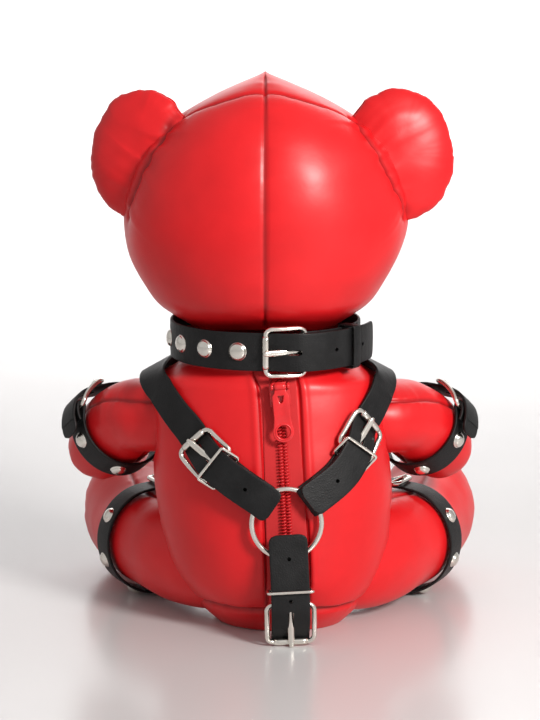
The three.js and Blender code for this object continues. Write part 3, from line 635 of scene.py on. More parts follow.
def floor_and_backdrop():
    mat, tree, shader = material("floor", Roughness=0.24)
    tone = placed_noise(tree, 3, 2)
    pale = ramp(tree, tone, [(0.3, (0.56, 0.55, 0.55)), (0.7, (0.60, 0.59, 0.59))])
    tree.links.new(pale, shader.inputs["Base Color"])
    bend = np.radians(np.linspace(0, 90, 24))
    rise = zip(COVE_START + COVE_RADIUS * np.sin(bend), COVE_RADIUS * (1 - np.cos(bend)))
    profile = [(-STAGE_REACH, 0), *rise, (COVE_START + COVE_RADIUS, STAGE_REACH)]
    corners = [(x, y, z) for y, z in profile for x in (-STAGE_REACH, STAGE_REACH)]
    strips = [(2 * i, 2 * i + 1, 2 * i + 3, 2 * i + 2) for i in range(len(profile) - 1)]
    floor = bpy.data.meshes.new("floor")
    floor.from_pydata(corners, [], strips)
    floor.materials.append(mat)
    floor.shade_smooth()
    floor = bpy.data.objects.new("floor", floor)
    bpy.context.scene.collection.objects.link(floor)


def studio_light():
    world = bpy.data.worlds.new("studio")
    bpy.context.scene.world = world
    world.use_nodes = True
    world.node_tree.nodes["Background"].inputs["Color"].default_value = (1.0, 0.98, 0.97, 1)
    world.node_tree.nodes["Background"].inputs["Strength"].default_value = 0.52
    bpy.context.scene.view_settings.view_transform = "Standard"

    def area(name, place, aim, size, power, colour=(1, 1, 1)):
        light = bpy.data.lights.new(name, "AREA")
        light.shape, light.size, light.size_y = "RECTANGLE", size[0], size[1]
        light.energy, light.color = power, colour
        obj = bpy.data.objects.new(name, light)
        obj.location = Vector(place)
        obj.rotation_euler = (Vector(aim) - Vector(place)).to_track_quat("-Z", "Y").to_euler()
        bpy.context.scene.collection.objects.link(obj)

    area("key", (0.75, -0.95, 0.75), (0, 0, 0.14), (0.28, 0.28), 19, (1.0, 0.97, 0.94))
    area("wall", (0.2, 1.2, 1.6), (0, 3.0, 0.5), (1.6, 1.0), 52)
    area("back", (0.3, 1.6, 1.2), (0, 0, 0.1), (1.8, 1.2), 7)


def aim_camera():
    camera = bpy.data.cameras.new("camera")
    camera.lens, camera.sensor_fit = CAMERA["lens"], "VERTICAL"
    camera.sensor_width = camera.sensor_height = CAMERA["sensor"]
    obj = bpy.data.objects.new("camera", camera)
    tilt = math.radians(CAMERA["elevation"])
    target = Vector(CAMERA["target"])
    place = target + Vector((0, -math.cos(tilt), math.sin(tilt))) * CAMERA["distance"]
    obj.location = place * MM
    obj.rotation_euler = (target - place).to_track_quat("-Z", "Y").to_euler()
    bpy.context.scene.collection.objects.link(obj)
    bpy.context.scene.camera = obj


# ------------------------------------------------------------------ strap sizes, as in the CAD model
STRAP = 1.4
STRAP_EDGE = 0.45
BASE_N = 1.1
BAR = 0.9
FRAME_WIRE = 1.2
HOLE_RADIUS = 0.95
PRONG_SPREAD = 1.75
HEEL_N = 3.0
ROLLER_N = 3.6
ROLLER_OUT = 1.65
FRAME = 18.0
EYE_R = 2.6
KEEPER_LOW = 2.7
TAIL_N = 6.6
WIRE = 0.7
HARNESS_WIDTH = 16.5
BELT_CLEAR = 1.4

COLLAR = {"width": 18.5, "radius": 45.6, "z": 143.4, "tilt": 2.5, "heel": 293, "tail": 46, "keeper": 25}
CUFF = {"width": 14.5, "heel": 30, "tail": 12, "row": 3, "turn": -1, "studs": (40, 102, 164, 226)}
GARTER = {"width": 15, "heel": 130, "tail": 11, "row": 4, "turn": 1, "studs": (64, 113, 162, 211, 260)}
RING_BACK = {"degrees": ZIP_DEGREES, "z": 60, "radius": 16.7, "wire": 1.3, "n": 2.0}
RING_CHEST = {"degrees": 90, "z": 86, "radius": 15, "wire": 1.3, "n": 2.0}
SHOULDER_ROUTE = {
    "left": [
        (99.6, 96.6, 0), (112, 107.5, 0.6), (130, 118, 1.6), (153, 123.5, 2.3), (180, 125, 2.4),
        (208, 120.5, 1.6), (227, 106, 0.4), (238, 93.5, 0), (251, 82, 0),
        (ZIP_DEGREES - 10.7, 71.8, 0),
    ],
    "right": [
        (79.4, 96.6, 0), (67, 107.5, 0.6), (50, 118, 1.6), (27, 123.5, 2.3), (0, 125, 2.4), (-22, 119.5, 1.6),
        (-40, 105.5, 0.4), (-49, 94, 0), (-58, 82.5, 0), (ZIP_DEGREES - 348, 71.8, 0),
    ],
}
SHOULDER = {"width": HARNESS_WIDTH, "flare": 1, "holes": (17,), "keeper": 5.2, "lean": 8.2}
SHOULDER_SIDE = {"left": {"tab": 25, "tail": 33}, "right": {"tab": 30, "tail": 34}}
CROTCH = {
    "width": 18.5, "tab": 22.3, "tail": 33, "flare": 2.4, "holes": (2.6, 21.5), "keeper": 6.8, "lean": 0,
}
CROTCH_ROUTE = [(ZIP_DEGREES, z, lift) for z, lift in ((9.5, 14), (16, 11), (24, 7), (34, 3.5), (43.3, 0.5))]
CHEST_ROUTE = [(90, z, 0) for z in (71, 50, 25, 7)]


# ------------------------------------------------------------------ routes
class Route:
    """A line over the bear, which flat (s along, v across, n up) points are bent onto."""

    def __init__(self, points, normals, closed=False):
        self.points, self.normals, self.closed = np.asarray(points), np.asarray(normals), closed
        self.lengths = distances(self.points)
        self.total = self.lengths[-1]
        before, after = np.roll(self.points, 1, axis=0), np.roll(self.points, -1, axis=0)
        if closed:
            before[0], after[-1] = self.points[-2], self.points[1]
        else:
            before[0], after[-1] = self.points[0], self.points[-1]
        self.headings = unit(after - before)

    def at(self, s):
        s = np.asarray(s, float)
        s = s % self.total if self.closed else s
        i = np.clip(np.searchsorted(self.lengths, s, side="right") - 1, 0, len(self.points) - 2)
        t = ((s - self.lengths[i]) / (self.lengths[i + 1] - self.lengths[i]))[..., None]
        blend = np.clip(t, 0, 1)
        point = self.points[i] * (1 - t) + self.points[i + 1] * t
        direction = unit(self.headings[i] * (1 - blend) + self.headings[i + 1] * blend)
        across = unit(np.cross(self.normals[i] * (1 - blend) + self.normals[i + 1] * blend, direction))
        return point, direction, across, unit(np.cross(direction, across))

    def bend(self, flat):
        flat = np.asarray(flat, float)
        point, _, across, normal = self.at(flat[..., 0])
        return point + across * flat[..., 1:2] + normal * flat[..., 2:3]

    def rigid(self, s, flat):
        """The flat points placed unbent in the tangent plane at s."""
        flat = np.asarray(flat, float)
        point, direction, across, normal = self.at(s)
        return point + direction * (flat[..., :1] - s) + across * flat[..., 1:2] + normal * flat[..., 2:3]


def trunk_route(rows):
    value = between(rows, np.linspace(0, len(rows) - 1, 60 * (len(rows) - 1) + 1))
    normals = trunk_normal(value[:, 0], value[:, 1])
    return Route(trunk_point(value[:, 0], value[:, 1]) + normals * value[:, 2:3], normals)


def loop_route(centre, across, up, a, b, start, turn):
    angle = (math.radians(start) + turn * np.linspace(0, 2 * math.pi, 73))[:, None]
    points = centre + across * a * np.cos(angle) + up * b * np.sin(angle)
    return Route(points, unit(across * np.cos(angle) / a + up * np.sin(angle) / b), closed=True)


def collar_route():
    tilt = math.radians(COLLAR["tilt"])
    forward = np.array([0, math.cos(tilt), math.sin(tilt)])
    centre = np.array([HEAD_X, 0, COLLAR["z"]])
    radius = COLLAR["radius"]
    return loop_route(centre, np.array([1.0, 0, 0]), forward, radius, radius, COLLAR["heel"], 1)


def belt_route(rows, sign, shift, size):
    place = [np.array([sign * row[0] + shift, row[1], row[2]], float) for row in rows]
    k = size["row"]
    across, up = square_to(unit(place[k + 1] - place[k - 1]))
    start = size["heel"] if sign > 0 else 180 - size["heel"]
    a, b = rows[k][3] + BELT_CLEAR, rows[k][4] + BELT_CLEAR
    return loop_route(place[k], across, up, a, b, start, sign * size["turn"])


# ------------------------------------------------------------------ swept shapes
def smooth_line(line, step=0.8):
    """A polyline in (s, n) made into an even curve through the same points."""
    line = np.asarray(line, float)
    place = distances(line)
    return along(np.column_stack([place, line]), np.linspace(0, place[-1], max(int(place[-1] / step), 8)))


def arc(s, n, radius, start, end, steps, squash=1.0):
    return [(s + radius * math.cos(a), n + squash * radius * math.sin(a))
            for a in np.radians(np.linspace(start, end, steps + 1))]


def strap_section(width, thickness):
    """The outline of a strap's cut end as (across, height), over its slightly crowned top and back."""
    half, high, edge = width / 2, thickness / 2, STRAP_EDGE
    bend = np.radians((0, 30, 60, 90))
    corner = [(half - edge + edge * math.sin(a), high - edge + edge * math.cos(a)) for a in bend]
    right = [(half - 3.2, high + 0.06), (half - 1.5, high), *corner]
    left = [(-v, h) for v, h in right[::-1]]
    lower = [(v, -h) for v, h in (corner[::-1] + [(-v, h) for v, h in corner])]
    return np.array(left + [(0, high + 0.10)] + right + lower)


def band_grid(route, line, width, thickness, shape=None, wobble=0.0, seed=0):
    """A strap's rows of points along a smooth (s, n) line. `shape` is its share of the width at each."""
    tangent = unit(np.gradient(line, axis=0))
    normal = np.column_stack([-tangent[:, 1], tangent[:, 0]])
    section = strap_section(width, thickness)
    share = np.ones(len(line)) if shape is None else shape
    s = line[:, :1] + normal[:, :1] * section[None, :, 1]
    n = line[:, 1:2] + normal[:, 1:2] * section[None, :, 1]
    v = share[:, None] * section[None, :, 0]
    points = route.bend(np.stack([s, v, n], axis=-1))
    if wobble:
        grain = noise(points, 9, seed) * wobble
        _, _, across, _ = route.at(s)
        points = points + across * grain[..., None]
    return points


def closed_grid(points):
    """Faces of a tube of rows with both ends capped."""
    rows, columns = points.shape[:2]
    faces = [tuple(reversed(face)) for face in grid_faces(rows, columns)]
    last = (rows - 1) * columns
    return faces + [tuple(range(columns)), tuple(range(last + columns - 1, last - 1, -1))]


def tip_shape(line, width, length=3.2):
    """Shares of the width that clip a strap's corners at its far end, so that it comes out round."""
    place = distances(line)
    t = np.clip((place[-1] - place) / length, 0, 1)
    cut = length * (1 - np.sqrt(1 - (1 - t) ** 2))
    return 1 - 2 * cut / width


def tube(path, radius, closed=False, around=14):
    """Rows of a round wire along a path of points. `radius` may change along it."""
    path = np.asarray(path, float)
    radius = np.broadcast_to(radius, len(path))[:, None, None]
    ahead, behind = np.roll(path, -1, axis=0), np.roll(path, 1, axis=0)
    if not closed:
        ahead[-1], behind[0] = path[-1], path[0]
    tangent = unit(ahead - behind)
    side = unit(np.cross(tangent[0], UP if abs(tangent[0][2]) < 0.9 else np.array([1.0, 0, 0])))
    sides = []
    for direction in tangent:
        side = unit(side - direction * (side @ direction))
        sides.append(side)
    sides = np.array(sides)
    other = np.cross(tangent, sides)
    angle = full_turn(around)[None, :, None]
    return path[:, None] + radius * (np.cos(angle) * sides[:, None] + np.sin(angle) * other[:, None])


def fix_normals(obj):
    """Faces turned to point out of each closed shell."""
    mesh = bmesh.new()
    mesh.from_mesh(obj.data)
    bmesh.ops.recalc_face_normals(mesh, faces=mesh.faces)
    mesh.to_mesh(obj.data)
    mesh.free()


def solid(name, shells, finish, body, slot, *replaced):
    """Closed shells of (points, faces) as one object, which stands for the CAD nodes named last."""
    vertices, faces, count = [], [], 0
    for points, own in shells:
        faces += [tuple(k + count for k in face) for face in own]
        vertices.append(points.reshape(-1, 3))
        count += len(vertices[-1])
    obj = new_object(name, np.vstack(vertices), faces, finish, body)
    fix_normals(obj)
    if replaced:
        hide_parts(*replaced)
    return obj


def capped(points):
    """A grid of points as a closed shell."""
    return points, closed_grid(points)


def looped(points):
    """A grid that closes on itself both ways as a shell."""
    return points, grid_faces(*points.shape[:2], ring=True)


def metal(name, shells, body, node):
    return solid(name, shells, NICKEL, body, "nickel", node)


def rounded_rectangle(x, y, corner, steps=6):
    """Points round a rectangle of these half sizes."""
    points = []
    for sx, sy, start in ((1, 1, 0), (-1, 1, 90), (-1, -1, 180), (1, -1, 270)):
        for a in np.radians(np.linspace(start, start + 90, steps + 1)):
            point = (sx * (x - corner) + corner * math.cos(a), sy * (y - corner) + corner * math.sin(a))
            points.append(point)
    return evened(np.array(points), 0.9)


def evened(loop, step):
    """A closed polyline with its long sides divided, keeping its corners."""
    points = []
    for a, b in zip(loop, np.roll(loop, -1, axis=0)):
        count = max(int(np.linalg.norm(b - a) / step), 1)
        points += [a + (b - a) * k / count for k in range(count)]
    return np.array(points)


# ------------------------------------------------------------------ hardware
def wire_loop(route, s, centre_n, length, width, radius, corner, tilt, bent):
    """A loop of round wire, its length along the strap and leaning by `tilt` radians."""
    loop = rounded_rectangle(length / 2, width / 2, corner)
    high = centre_n - loop[:, 0] * math.sin(tilt)
    flat = np.column_stack([s + loop[:, 0] * math.cos(tilt), loop[:, 1], high])
    path = route.bend(flat) if bent else route.rigid(s, flat)
    return looped(tube(path, radius, closed=True))


def buckle(name, route, width, roller, body, bare=False):
    """The frame, its roller where it has one, and the prong, each on its own body."""
    tilt = math.atan2(ROLLER_N - HEEL_N, FRAME)
    frame_at = roller + FRAME / 2
    middle_n, across = (ROLLER_N + HEEL_N) / 2, width + 2.4 + 2 * BAR
    loop = wire_loop(route, frame_at, middle_n, FRAME, across, FRAME_WIRE, 3.0, tilt, bent=True)
    metal(f"{name}_buckle_frame_wire", [loop], body, f"{name}_buckle_frame")
    if not bare:
        long = width - 2.6
        v = np.linspace(-long / 2, long / 2, 9)
        radius = np.where(np.abs(v) > long / 2 - 0.5, ROLLER_OUT - 0.12, ROLLER_OUT)
        path = route.rigid(roller, np.column_stack([np.full(9, roller), v, np.full(9, ROLLER_N)]))
        shell = capped(tube(path, radius, around=24))
        metal(f"{name}_roller_tube", [shell], f"{name}_roller", f"{name}_roller")
    prong(name, route, roller, BAR + 0.5 if bare else ROLLER_OUT)


PIN_RADIUS = 0.95
PIN_EYE = 1.78
PIN_EYE_WIRE = 0.42


def widened(points, across, times):
    """The rows of a tube stretched sideways about their middles."""
    offset = points - points.mean(axis=1, keepdims=True)
    return points + across * (offset @ across)[..., None] * (times - 1)


def prong(name, route, roller, rest):
    """A pin from its eye on the heel bar to where it rests on the roller, or on a bare frame."""
    heel = roller + FRAME
    there, _, _, there_up = route.at(roller)
    here, ahead, across, up = route.at(heel)
    span = there + there_up * (ROLLER_N + rest + 1.05) - here - up * HEEL_N
    angle = math.atan2(span @ up, -(span @ ahead))
    reach = float(np.linalg.norm(span)) + 1.4
    t = np.linspace(0, 1, 16)
    out = 1.75 + (reach - 1.75) * t
    sag = 0.18 * np.sin(math.pi * t) - 0.25 * t**6
    s = heel - out * math.cos(angle) - sag * math.sin(angle)
    n = HEEL_N + out * math.sin(angle) - sag * math.cos(angle)
    radius = PIN_RADIUS - 0.12 * t**2
    radius[-2:] = (0.72, 0.40)
    pin = tube(route.rigid(heel, np.column_stack([s, 0 * t, n])), radius, around=12)
    turns = full_turn(28)
    ring = [(heel + PIN_EYE * math.cos(a), 0, HEEL_N + PIN_EYE * math.sin(a)) for a in turns]
    eye = tube(route.rigid(heel, np.array(ring)), PIN_EYE_WIRE, closed=True, around=10)
    shells = [capped(widened(pin, across, PRONG_SPREAD)), looped(widened(eye, across, 2.6))]
    metal(f"{name}_prong_pin", shells, f"{name}_prong", f"{name}_prong")


def domed_rivets(name, route, places, top_n, radius, body):
    """A row of domed rivet caps on a strap."""
    profile = [(radius, -0.5), (radius + 0.05, 0.0), (radius - 0.15, 0.28), (radius - 0.5, 0.5)]
    dome = np.radians((12, 25, 40, 55, 70, 82))
    profile += [((radius - 0.5) * math.cos(a), 0.5 + 1.7 * math.sin(a)) for a in dome]
    turns = full_turn(32)
    shells = []
    for s in places:
        rows = []
        for r, height in profile:
            level = np.full(len(turns), top_n + height)
            rows.append(np.column_stack([s + r * np.cos(turns), r * np.sin(turns), level]))
        shells.append(capped(route.rigid(s, np.stack(rows))))
    solid(name, shells, NICKEL, body, "nickel")


# ------------------------------------------------------------------ straps
# edges that turn more sharply than this aren't shaded smooth
SHARP_DEGREES = 48


def punch(obj, route, cutters):
    """Cuts (kind, s, n, size) out of a strap: round holes, and slots for a prong."""
    for kind, s, n, size in cutters:
        if kind == "hole":
            angle = full_turn(16)
            rim = [(s + size * math.cos(a), size * math.sin(a)) for a in angle]
        else:
            rim = rounded_rectangle(size / 2, 1.35, 1.3, 4) + np.array([s, 0])
        ends = [np.column_stack([np.asarray(rim), np.full(len(rim), n + side)]) for side in (-4.0, 4.0)]
        points = route.bend(np.stack(ends))
        mesh = bpy.data.meshes.new("cutter")
        mesh.from_pydata((points.reshape(-1, 3) * MM).tolist(), [], closed_grid(points))
        cutter = bpy.data.objects.new("cutter", mesh)
        bpy.context.scene.collection.objects.link(cutter)
        fix_normals(cutter)
        subtract(obj, cutter)
        bpy.data.objects.remove(cutter)
    obj.data.set_sharp_from_angle(angle=math.radians(SHARP_DEGREES))


def climb(tail, flare):
    """The tail's height over the skin at distances past the roller, and on to its tip."""
    return [
        (0, BASE_N), (3.5, 1.9), (7.5, 3.5), (12, 5.4), (15.5, 6.4), (FRAME, TAIL_N), (FRAME + 3.5, TAIL_N),
        (FRAME + 7.2, TAIL_N - 0.1), (FRAME + tail * 0.5, TAIL_N - 0.2 + flare * 0.2),
        (FRAME + tail * 0.75, TAIL_N - 0.4 + flare * 0.5), (FRAME + tail, TAIL_N - 0.5 + flare),
    ]


def leather(name, shell, body, node):
    return solid(name, [shell], BLACK, body, "black_leather", node)


def ring_fold():
    """The start of a strap that folds round a ring and comes back under itself."""
    return [(9, 2.7), (5, 4.0), (1.5, 4.9)] + arc(-0.9, HEEL_N + 0.15, 3.3, 100, 260, 9, 0.66)


def buckle_strap(name, route, width, reach, tail, body, flare=0.0, eye=None, holes=(), *, seed):
    """A strap from its folded eye at s = 0, under its roller and up over the buckle to its free end."""
    lay = [(2 + (reach - 4) * i / 12, BASE_N) for i in range(12)]
    start = []
    if eye == "bar":
        start = [(7, 2.9), (4.5, 3.9)] + arc(0, HEEL_N, EYE_R - STRAP / 2, 80, 270, 9)
    elif eye == "ring":
        start = ring_fold()
    line = start + lay[1 if eye else 0:] + [(reach + s, n) for s, n in climb(tail, flare)]
    smooth = smooth_line(line)
    grid = band_grid(route, smooth, width, STRAP, tip_shape(smooth, width, 3.4), wobble=0.10, seed=seed)
    obj = leather(f"{name}_strap_leather", capped(grid), body, f"{name}_strap")
    cutters = [("slot", reach + FRAME - 8.9, 4.6, 12.6)]
    if eye == "bar":
        cutters.append(("slot", -0.6, HEEL_N, 5.6))
    cutters += [("hole", reach + FRAME + s, TAIL_N, HOLE_RADIUS) for s in holes]
    punch(obj, route, cutters)


def ring_tab(name, route, width, heel, ring_at, body):
    """The doubled tab between a heel bar and the back ring."""
    low, high = 0.4 + STRAP / 2, 0.4 + 1.6 * STRAP
    mid = (heel + ring_at) / 2
    line = [(mid, low)] + [(heel + 4, low)] + arc(heel, HEEL_N, EYE_R - STRAP / 2, 270, 90, 9)
    line += [(heel + 4, 4.9)]
    if ring_at - heel > 20:
        line += [(heel + 8, 4.2), (mid, high), (ring_at - 5, high + 0.3)]
    line += [(ring_at - 1.5, 4.6)] + arc(ring_at + 0.9, HEEL_N + 0.15, 3.3, 80, -80, 8, 0.66)
    line += [(ring_at - 3.5, low), (mid + 0.5, low)]
    smooth = smooth_line(line, 0.6)
    grid = band_grid(route, smooth, width, STRAP - 0.1)
    obj = leather(f"{name}_tab_leather", capped(grid), body, f"{name}_tab")
    punch(obj, route, [("slot", heel - 0.4, HEEL_N, 5.6)])


def harness_strap(name, rows, size, eye=None, *, seed):
    route = trunk_route(rows)
    ring_at = route.total
    heel = ring_at - size["tab"]
    reach = heel - FRAME
    width = size["width"]
    tail, flare, holes = size["tail"], size["flare"], size["holes"]
    buckle_strap(name, route, width, reach, tail, "trunk", flare, eye, holes, seed=seed)
    ring_tab(name, route, width - 0.6, heel, ring_at, "trunk")
    buckle(name, route, width, reach, "trunk")
    rise = TAIL_N + STRAP / 2 + WIRE + 0.65 - KEEPER_LOW
    lean = size["lean"]
    tilt = math.pi / 2 - math.atan2(lean, rise)
    at = heel + size["keeper"] - lean / 2
    length, middle_n = math.hypot(rise, lean), KEEPER_LOW + rise / 2
    loop = wire_loop(route, at, middle_n, length, width + 2.9, WIRE + 0.05, 1.2, tilt, bent=False)
    metal(f"{name}_keeper_wire", [loop], "trunk", f"{name}_keeper")


def limb_belts():
    for side, sign in SIDES.items():
        for name, rows, shift, size, body in (
            ("cuff", ARM, ARM_SHIFT, CUFF, "arm"), ("garter", LEG, 0.0, GARTER, "leg"),
        ):
            route = belt_route(rows, sign, shift, size)
            reach = route.total - FRAME
            piece, on = f"{name}_{side}", f"{body}_{side}"
            buckle_strap(piece, route, size["width"], reach, size["tail"], on, eye="bar", seed=70 + sign)
            buckle(piece, route, size["width"], reach, on, bare=True)
            places = [angle / 360 * route.total for angle in size["studs"]]
            domed_rivets(f"{piece}_rivets", route, places, BASE_N + STRAP / 2, 4.1, on)


def collar():
    route = collar_route()
    width, reach = COLLAR["width"], route.total - FRAME
    buckle_strap("collar", route, width, reach, COLLAR["tail"], "trunk", 1.6, "bar", (14, 32), seed=81)
    buckle("collar", route, width, reach, "trunk")
    places = [route.total * (1 - (39 + 22 * i) / 360) for i in range(12)]
    domed_rivets("collar_rivets", route, places, BASE_N + STRAP / 2, 4.5, "trunk")
    leather_keeper(route)


def leather_keeper(route):
    """A leather loop that holds the collar's tail down."""
    at, width, wall = COLLAR["keeper"], COLLAR["width"], 1.0
    section = [
        (-2.8, -0.6), (-2.8, 0.6), (-2.5, 1.0), (0, 1.15),
        (2.5, 1.0), (2.8, 0.6), (2.8, -0.6), (0, -1.0),
    ]
    loop = rounded_rectangle(width / 2 + 0.4 + wall / 2, 4.25 + wall / 2, 1.6)
    outward = unit(loop) * wall / 2
    rows = []
    for du, dw in section:
        ring = loop + outward * dw
        rows.append(np.column_stack([np.full(len(ring), at + du), ring[:, 0], 4.35 + ring[:, 1]]))
    points = route.rigid(at, np.stack(rows, axis=1))
    leather("collar_keeper_leather", looped(points), "trunk", "collar_keeper")


def chest_strap():
    route = trunk_route(CHEST_ROUTE)
    line = ring_fold() + [(2 + (route.total - 2) * i / 8, BASE_N) for i in range(1, 9)]
    smooth = smooth_line(line)
    grid = band_grid(route, smooth, HARNESS_WIDTH, STRAP, tip_shape(smooth, 15))
    leather("chest_strap_leather", capped(grid), "trunk", "chest_strap")


def rings():
    for name, place in (("back_ring", RING_BACK), ("chest_ring", RING_CHEST)):
        normal = trunk_normal(place["degrees"], place["z"])
        centre = trunk_point(place["degrees"], place["z"]) + normal * place["n"]
        side = unit(np.cross(UP, normal))
        up = np.cross(normal, side)
        angle = full_turn(120)[:, None]
        path = centre + place["radius"] * (np.cos(angle) * side + np.sin(angle) * up)
        metal(f"{name}_wire", [looped(tube(path, place["wire"], closed=True, around=18))], "trunk", name)


# ------------------------------------------------------------------ ears and face
EAR = {"size": (29, 10, 33.5), "forward": -3, "z": 233, "nod": -4}
EAR_SIDE = {"left": {"out": 60, "yaw": -24}, "right": {"out": 65.5, "yaw": 8}}
MUZZLE = {"size": (26, 22, 19), "forward": 61, "z": 181}
NOSE_SIZE = {"size": (9, 5, 6.5), "forward": 80, "z": 190}
EYE = {"size": (5.5, 4, 5.5), "out": 24, "forward": 60.8, "z": 205, "yaw": -22}


def ball_grid(size, rows, columns, power=1.0):
    """An ellipsoid about Y from its back pole to its front one. A power under 1 makes its rim fuller."""
    tilt = np.linspace(0.015, math.pi - 0.015, rows)[:, None]
    turn = -full_turn(columns)[None, :]
    round_out = np.sin(tilt) ** power
    x, z = size[0] * round_out * np.cos(turn), size[2] * round_out * np.sin(turn)
    return np.stack([x, np.broadcast_to(-size[1] * np.cos(tilt), x.shape), z], axis=-1)


def turned(points, place, nod=0.0, yaw=0.0):
    """Points turned about X, then about Z, and moved."""
    matrix = Matrix.Rotation(math.radians(yaw), 3, "Z") @ Matrix.Rotation(math.radians(nod), 3, "X")
    return np.asarray(points) @ np.array(matrix).T + np.array(place, float)


def ears():
    for side, sign in SIDES.items():
        own = EAR_SIDE[side]
        place = (HEAD_X + sign * own["out"], EAR["forward"], EAR["z"])
        points = turned(ball_grid(EAR["size"], 91, 200, 0.8), place, EAR["nod"], own["yaw"])
        rim = points[45]
        swell = 1 + 0.014 * noise(points, 17, 5 + sign)
        points = rim.mean(axis=0) + (points - rim.mean(axis=0)) * swell[..., None]
        rim = np.vstack([points[45], points[45][:1]])
        root = head_line(EAR_ROOT[side])
        seams = [
            Seam(rim, depth=1.0, width=0.9, dip=0.9, reach=4.5, pucker=0.75, pitch=5.5, seed=101 + sign),
            Seam(root, depth=0.6, width=2.5, dip=1.5, reach=9, pucker=0.8, pitch=6, seed=111 + sign),
        ]
        points, crease_shade = sewn(points, seams, lumps=[(0.7, 22, 121 + sign), (0.3, 9, 122 + sign)])
        skin_object(f"ear_{side}_skin", points, crease_shade, "head", [f"ear_{side}"])


def muzzle():
    place = (HEAD_X, MUZZLE["forward"], MUZZLE["z"])
    points = turned(ball_grid(MUZZLE["size"], 81, 160, 0.9), place=place)
    front = np.linspace(0.05, 0.9, 30) * math.pi / 2
    _, depth, height = MUZZLE["size"]
    drop = np.stack([0 * front, depth * np.cos(front), -height * np.sin(front)], axis=1) + place
    seams = [Seam(drop, depth=0.9, width=0.9, dip=0.8, reach=5, pucker=0.2, seed=131)]
    points, crease_shade = sewn(points, seams, lumps=[(0.4, 18, 132)])
    skin_object("muzzle_skin", points, crease_shade, "head", ["muzzle"])
    mouth(place)


def nose():
    place = (HEAD_X, NOSE_SIZE["forward"], NOSE_SIZE["z"])
    points = ball_grid(NOSE_SIZE["size"], 41, 72, 0.75)
    points[..., 0] *= 1 + 0.22 * points[..., 2] / NOSE_SIZE["size"][2]
    points, _ = sewn(turned(points, place=place), [], lumps=[(0.15, 6, 133)])
    obj = solid("nose_pad", [capped(points)], NOSE, "head", "black_leather", "nose")


def eyes():
    for side, sign in SIDES.items():
        place = (HEAD_X + sign * EYE["out"], EYE["forward"], EYE["z"])
        points = turned(ball_grid(EYE["size"], 41, 72), yaw=sign * EYE["yaw"], place=place)
        solid(f"eye_{side}_dome", [capped(points)], EYE_GLOSS, "head", "eye_black", f"eye_{side}")


def mouth(place):
    """A smile sewn in thick black thread, in two short arcs from the middle seam."""
    shells = []
    for sign in (-1, 1):
        t = np.linspace(0, 1, 24)
        x = sign * 12.5 * t
        z = -7.5 - 3.6 * np.sin(math.pi * t * 0.62) + 4.5 * t**2
        rx, ry, rz = MUZZLE["size"]
        y = ry * np.sqrt(np.clip(1 - (x / rx) ** 2 - (z / rz) ** 2, 0.02, 1)) + 0.1
        thickness = 0.55 + 0.05 * np.sin(40 * t)
        shells.append(capped(tube(np.column_stack([x, y, z]) + place, thickness, around=10)))
    solid("mouth_thread", shells, DARK_THREAD, "head", "black_leather")


# ------------------------------------------------------------------ zip
def zip_tape():
    z = np.linspace(ZIP["bottom"], ZIP["top"], 150)
    right = np.linspace(2.6, PLACKET + 0.6, 14)
    v = np.concatenate([-right[::-1], [-2.3, 2.3], right])
    n = np.where(np.abs(v) < 2.5, -1.25, -0.95)
    top = zip_point(v[None, :], z[:, None], n[None, :])
    low = zip_point(v[None, ::-1], z[:, None], -1.5)
    shell = capped(np.concatenate([top, low], axis=1))
    obj = solid("zip_tape_weave", [shell], TAPE, "trunk", "zip_tape", "zip_tape")


def zip_coil():
    """Two rows of nylon coil, each a flattened spiral whose outer turns show."""
    pitch = 1.5
    shells = []
    height = ZIP["top"] - 1 - ZIP["teeth_end"]
    turns = int(height / pitch)
    phase = np.linspace(0, 2 * math.pi * turns, turns * 14)
    for sign in (-1, 1):
        z = ZIP["teeth_end"] + height * phase / phase[-1]
        v = sign * (1.45 + 1.25 * np.cos(phase + (math.pi if sign > 0 else 0)))
        n = 0.35 + 0.7 * np.sin(phase)
        shells.append(capped(tube(zip_point(v, z, n), 0.38, around=7)))
    solid("zip_coil", shells, ZIP_COIL, "trunk", "zip_teeth", "zip_teeth")


def plate(loops, thickness, bevel):
    """A flat plate with rounded edges from its outline and holes, as (points, faces) about its middle."""
    curve = bpy.data.curves.new("plate", "CURVE")
    curve.dimensions, curve.fill_mode = "2D", "BOTH"
    curve.extrude, curve.offset = thickness / 2 - bevel, -bevel
    curve.bevel_depth, curve.bevel_resolution = bevel, 3
    for loop in loops:
        spline = curve.splines.new("POLY")
        spline.points.add(len(loop) - 1)
        for point, (x, y) in zip(spline.points, loop):
            point.co = (x, y, 0, 1)
        spline.use_cyclic_u = True
    obj = bpy.data.objects.new("plate", curve)
    bpy.context.scene.collection.objects.link(obj)
    mesh = bpy.data.meshes.new_from_object(obj.evaluated_get(bpy.context.evaluated_depsgraph_get()))
    bpy.data.objects.remove(obj)
    shape = bmesh.new()
    shape.from_mesh(mesh)
    bmesh.ops.remove_doubles(shape, verts=shape.verts, dist=1e-4)
    points = np.array([v.co[:] for v in shape.verts])
    faces = [tuple(v.index for v in face.verts) for face in shape.faces]
    shape.free()
    bpy.data.meshes.remove(mesh)
    return points, faces


def circle(x, y, radius, start=0.0, end=360.0, steps=32):
    full = end - start >= 360
    return [(x + radius * math.cos(a), y + radius * math.sin(a))
            for a in np.radians(np.linspace(start, end, steps, endpoint=not full))]


PULL_N = 5.4
PIVOT_S = -4.0
PULL_END = 17.6
SLIDER_HALF = [(-6, -3.4), (-4.6, -4.6), (1, -5), (4.6, -3.6), (6, -2.6)]
PULL_HALF = [(11, 4.0), (4, 4.1), (0.5, 4.1), (-1.2, 2.9), (-3.0, 2.7)]


def mirrored(half):
    """The other half of an outline, in the order that carries on from the first."""
    return [(x, -y) for x, y in half[::-1]]


